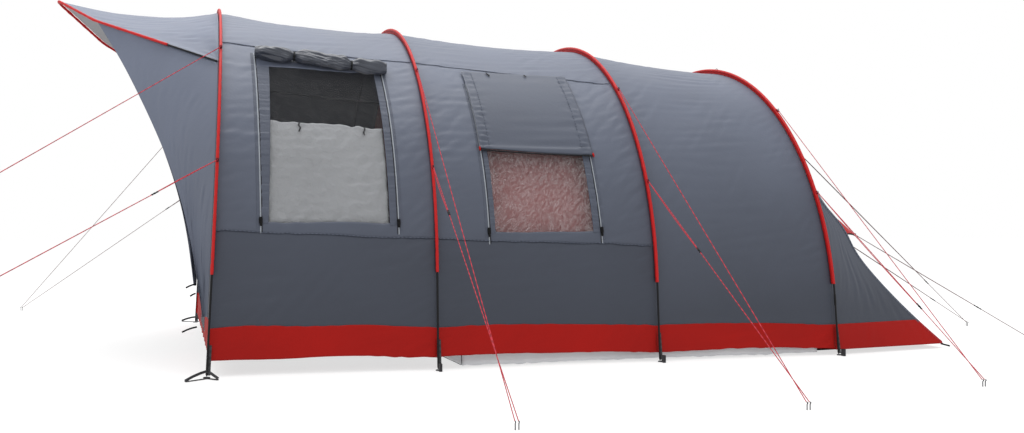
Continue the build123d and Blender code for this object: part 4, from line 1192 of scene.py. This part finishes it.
SLIDER_SHAPE = (0.7, 0.9, 0.96, 1.0, 1.0, 1.0, 0.98, 0.92, 0.75)  # width down a slider's body
PULL_SHAPE = (0.7, 1.0, 1.0, 0.9, 0.8, 0.7, 0.5)  # width up a pull tab
BRIDGE_RISE = (0.0012, 0.0034, 0.0040, 0.0034, 0.0012)


def make_zip_sliders():
    """A slider body with its bridge, and a pull tab hanging from it."""
    for bay in (0, 1):
        for word in ("front", "rear"):
            name = f"{bay + 1}_{word}"
            node = f"zip_slider_{name}"
            low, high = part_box(node)
            x = (low.x + high.x) / 2
            z = np.linspace(low.z + 0.001, high.z - 0.001, len(SLIDER_SHAPE))
            body, out = wall_line(bay, x, z, 0.0072)
            wide = 0.019 * np.array(SLIDER_SHAPE)
            ribbon(f"slider_{name}", body, out, wide, 0.0062, PLASTIC, node, "slider", node)
            bridge = body[2:7] + out[2:7] * np.array(BRIDGE_RISE)[:, None]
            ribbon(f"bridge_{name}", bridge, out[2:7], 0.0045, 0.0018, PLASTIC, None, "slider", node)
            strip(f"pull_{name}", bay, x, np.linspace(low.z - 0.016, low.z + 0.014, len(PULL_SHAPE)),
                  0.012 * np.array(PULL_SHAPE), 0.0024, 0.0100, PLASTIC, None, "slider", node)


make_windows()
make_curtain()
make_blind_roll()
make_blind_flap()
make_zip_sliders()


# ---- seams ------------------------------------------------------------------------------------
def make_seams():
    for bay in (0, 1):
        u = np.linspace(0.012, 0.988, 90)
        x = HOOP_X[bay] + (HOOP_X[bay + 1] - HOOP_X[bay]) * u
        for name, plane in (("top", TOP_SEAM), ("low", LOW_SEAM)):
            for side, word in SIDES:
                q = side * fly_length(bay, u, plane_z(plane, x))
                stand = fly_waves(bay, u, q) + 0.0016
                base, above = fly_point(bay, u, q, stand), fly_point(bay, u, q, stand + 0.01)
                ribbon(f"seam_{name}_{word}_{bay + 1}", base, above - base, 0.006, 0.0018, STITCH, None,
                       "fly_cloth")


make_seams()


# ---- feet -------------------------------------------------------------------------------------
def make_feet():
    for i in range(4):
        for side, word in SIDES:
            z = np.linspace(0.155, 0.010, 14)
            centres = np.stack([hoop_point(i, v, 0.022 - 0.012 * k / 13, side) for k, v in enumerate(z)])
            ribbon(f"foot_strap_{word}_{i + 1}", centres + (0.010, 0, 0), (0.0, side, 0.1), 0.016, 0.0022,
                   STRAP, "foot_straps", "webbing")
    x, half = HOOP_X[0], HOOP_HALF[0]
    for side, word in SIDES:
        elbow = np.array([x + 0.004, side * (half + 0.042), 0.040])
        tail, hook = elbow + (-0.104, side * 0.080, -0.032), elbow + (0.046, side * 0.062, -0.030)
        path = [tail, (tail * 2 + elbow) / 3 + (0, 0, 0.004), (tail + 2 * elbow) / 3 + (0, 0, 0.004), elbow,
                (elbow * 2 + hook) / 3, hook]
        ribbon(f"angle_peg_{word}", path, (0.0, side, 0.35), 0.013, 0.007, STEEL, None, "steel")
    hook = [(REAR_CORNER[0] + d, -REAR_CORNER[1], 0.020 - 0.25 * d) for d in (-0.02, 0.0, 0.02, 0.045)]
    ribbon("rear_corner_hook", hook, (0.0, -1.0, 0.1), 0.010, 0.005, WEBBING, None, "webbing")
    for k, (high, long) in enumerate(((0.31, 0.07), (0.24, 0.04), (0.04, 0.10))):
        y = 1.35 if k < 2 else 0.75
        path = [(x - 0.004 - long * t, y - 0.02 * t, high - 0.012 * t - 0.2 * long * t * t)
                for t in (0, 0.33, 0.66, 1)]
        ribbon(f"front_toggle_{k + 1}", path, (0.0, -1.0, 0.2), 0.012, 0.005, WEBBING, None, "webbing")


make_feet()


# ---- vent hoods -------------------------------------------------------------------------------
def make_hoods():
    """Small red hoods sewn to the rear panel, held open by a black stiffener along their lower edge."""
    for side, word in SIDES:
        rows, cols = 24, 41
        t = np.linspace(0, 1, rows)[:, None]
        a = np.linspace(-1, 1, cols)[None] * (1 if side < 0 else -1)
        z = HOOD_TOP + (HOOD_LOW - HOOD_TOP) * t + 0 * a
        base = rear_at(side * HOOD_SHARE + a * HOOD_SPREAD * (0.12 + 0.88 * t), z)
        ridge = (1 - np.abs(a) ** 1.5) * t ** 1.15
        reach = HOOD_REACH * ridge + 0.004
        wave = 0.0016 * ripple(a * 0.1, t * 0.16, 80, 20, 0.03, 161)
        points = base + np.stack([reach + wave * t, 0 * reach, 0.006 * np.sin(math.pi * ridge)], -1)
        cloth(f"hood_cloth_{word}", points, points, RED_SLEEVE, "vent_hoods", "red_cloth")
        brim = points[-1] + (0.001, 0, -0.001)
        ribbon(f"hood_brim_{word}", brim, (0.3, 0, 1.0), 0.006, 0.007, PLASTIC, None, "webbing")


make_hoods()


# ---- materials of the CAD nodes that stay -----------------------------------------------------
def dress_nodes():
    looks = {"hoop_pole": BLACK_POLE, "pole_ferrules": BLACK_POLE, "visor_pole": BLACK_POLE,
             "foot_pins": STEEL, "foot_pegs": STEEL, "guy_loops": PLASTIC}
    for name, node in NODES.items():
        for start, material in looks.items():
            if name.startswith(start):
                node.data.materials.clear()
                node.data.materials.append(material)


dress_nodes()


# ---- stage ------------------------------------------------------------------------------------
def make_stage():
    mesh = bpy.data.meshes.new("floor")
    size = 60.0
    corners = [(x * size, y * size, -0.002) for x, y in ((-1, -1), (1, -1), (1, 1), (-1, 1))]
    mesh.from_pydata(corners, [], [(0, 1, 2, 3)])
    floor = bpy.data.objects.new("floor", mesh)
    bpy.context.scene.collection.objects.link(floor)
    material, _, _, shader = new_material("pale_floor")
    shader.inputs["Base Color"].default_value = (0.36, 0.36, 0.36, 1)
    shader.inputs["Roughness"].default_value = 0.9
    shader.inputs["Specular IOR Level"].default_value = 0.0
    shader.inputs["Emission Color"].default_value = (1.0, 1.0, 1.0, 1)
    shader.inputs["Emission Strength"].default_value = 0.66  # a backlit white sweep, so shadows stay soft
    mesh.materials.append(material)
    world = bpy.data.worlds.new("studio")
    bpy.context.scene.world = world
    world.use_nodes = True
    world.node_tree.nodes["Background"].inputs["Color"].default_value = (1.0, 1.0, 1.0, 1)
    world.node_tree.nodes["Background"].inputs["Strength"].default_value = 1.0
    for name, place, size, power, aim in (
            ("top_light", (-1.0, 0.5, 7.5), 7.0, 520.0, (0.2, 0.0, 1.0)),
            ("front_light", (-7.0, -6.0, 4.5), 4.0, 60.0, (-1.5, 0.0, 1.0))):
        data = bpy.data.lights.new(name, "AREA")
        data.size = size
        data.energy = power
        lamp = bpy.data.objects.new(name, data)
        bpy.context.scene.collection.objects.link(lamp)
        lamp.location = place
        lamp.rotation_euler = (Vector(aim) - Vector(place)).to_track_quat("-Z", "Y").to_euler()
    bpy.context.scene.view_settings.view_transform = "Standard"


make_stage()
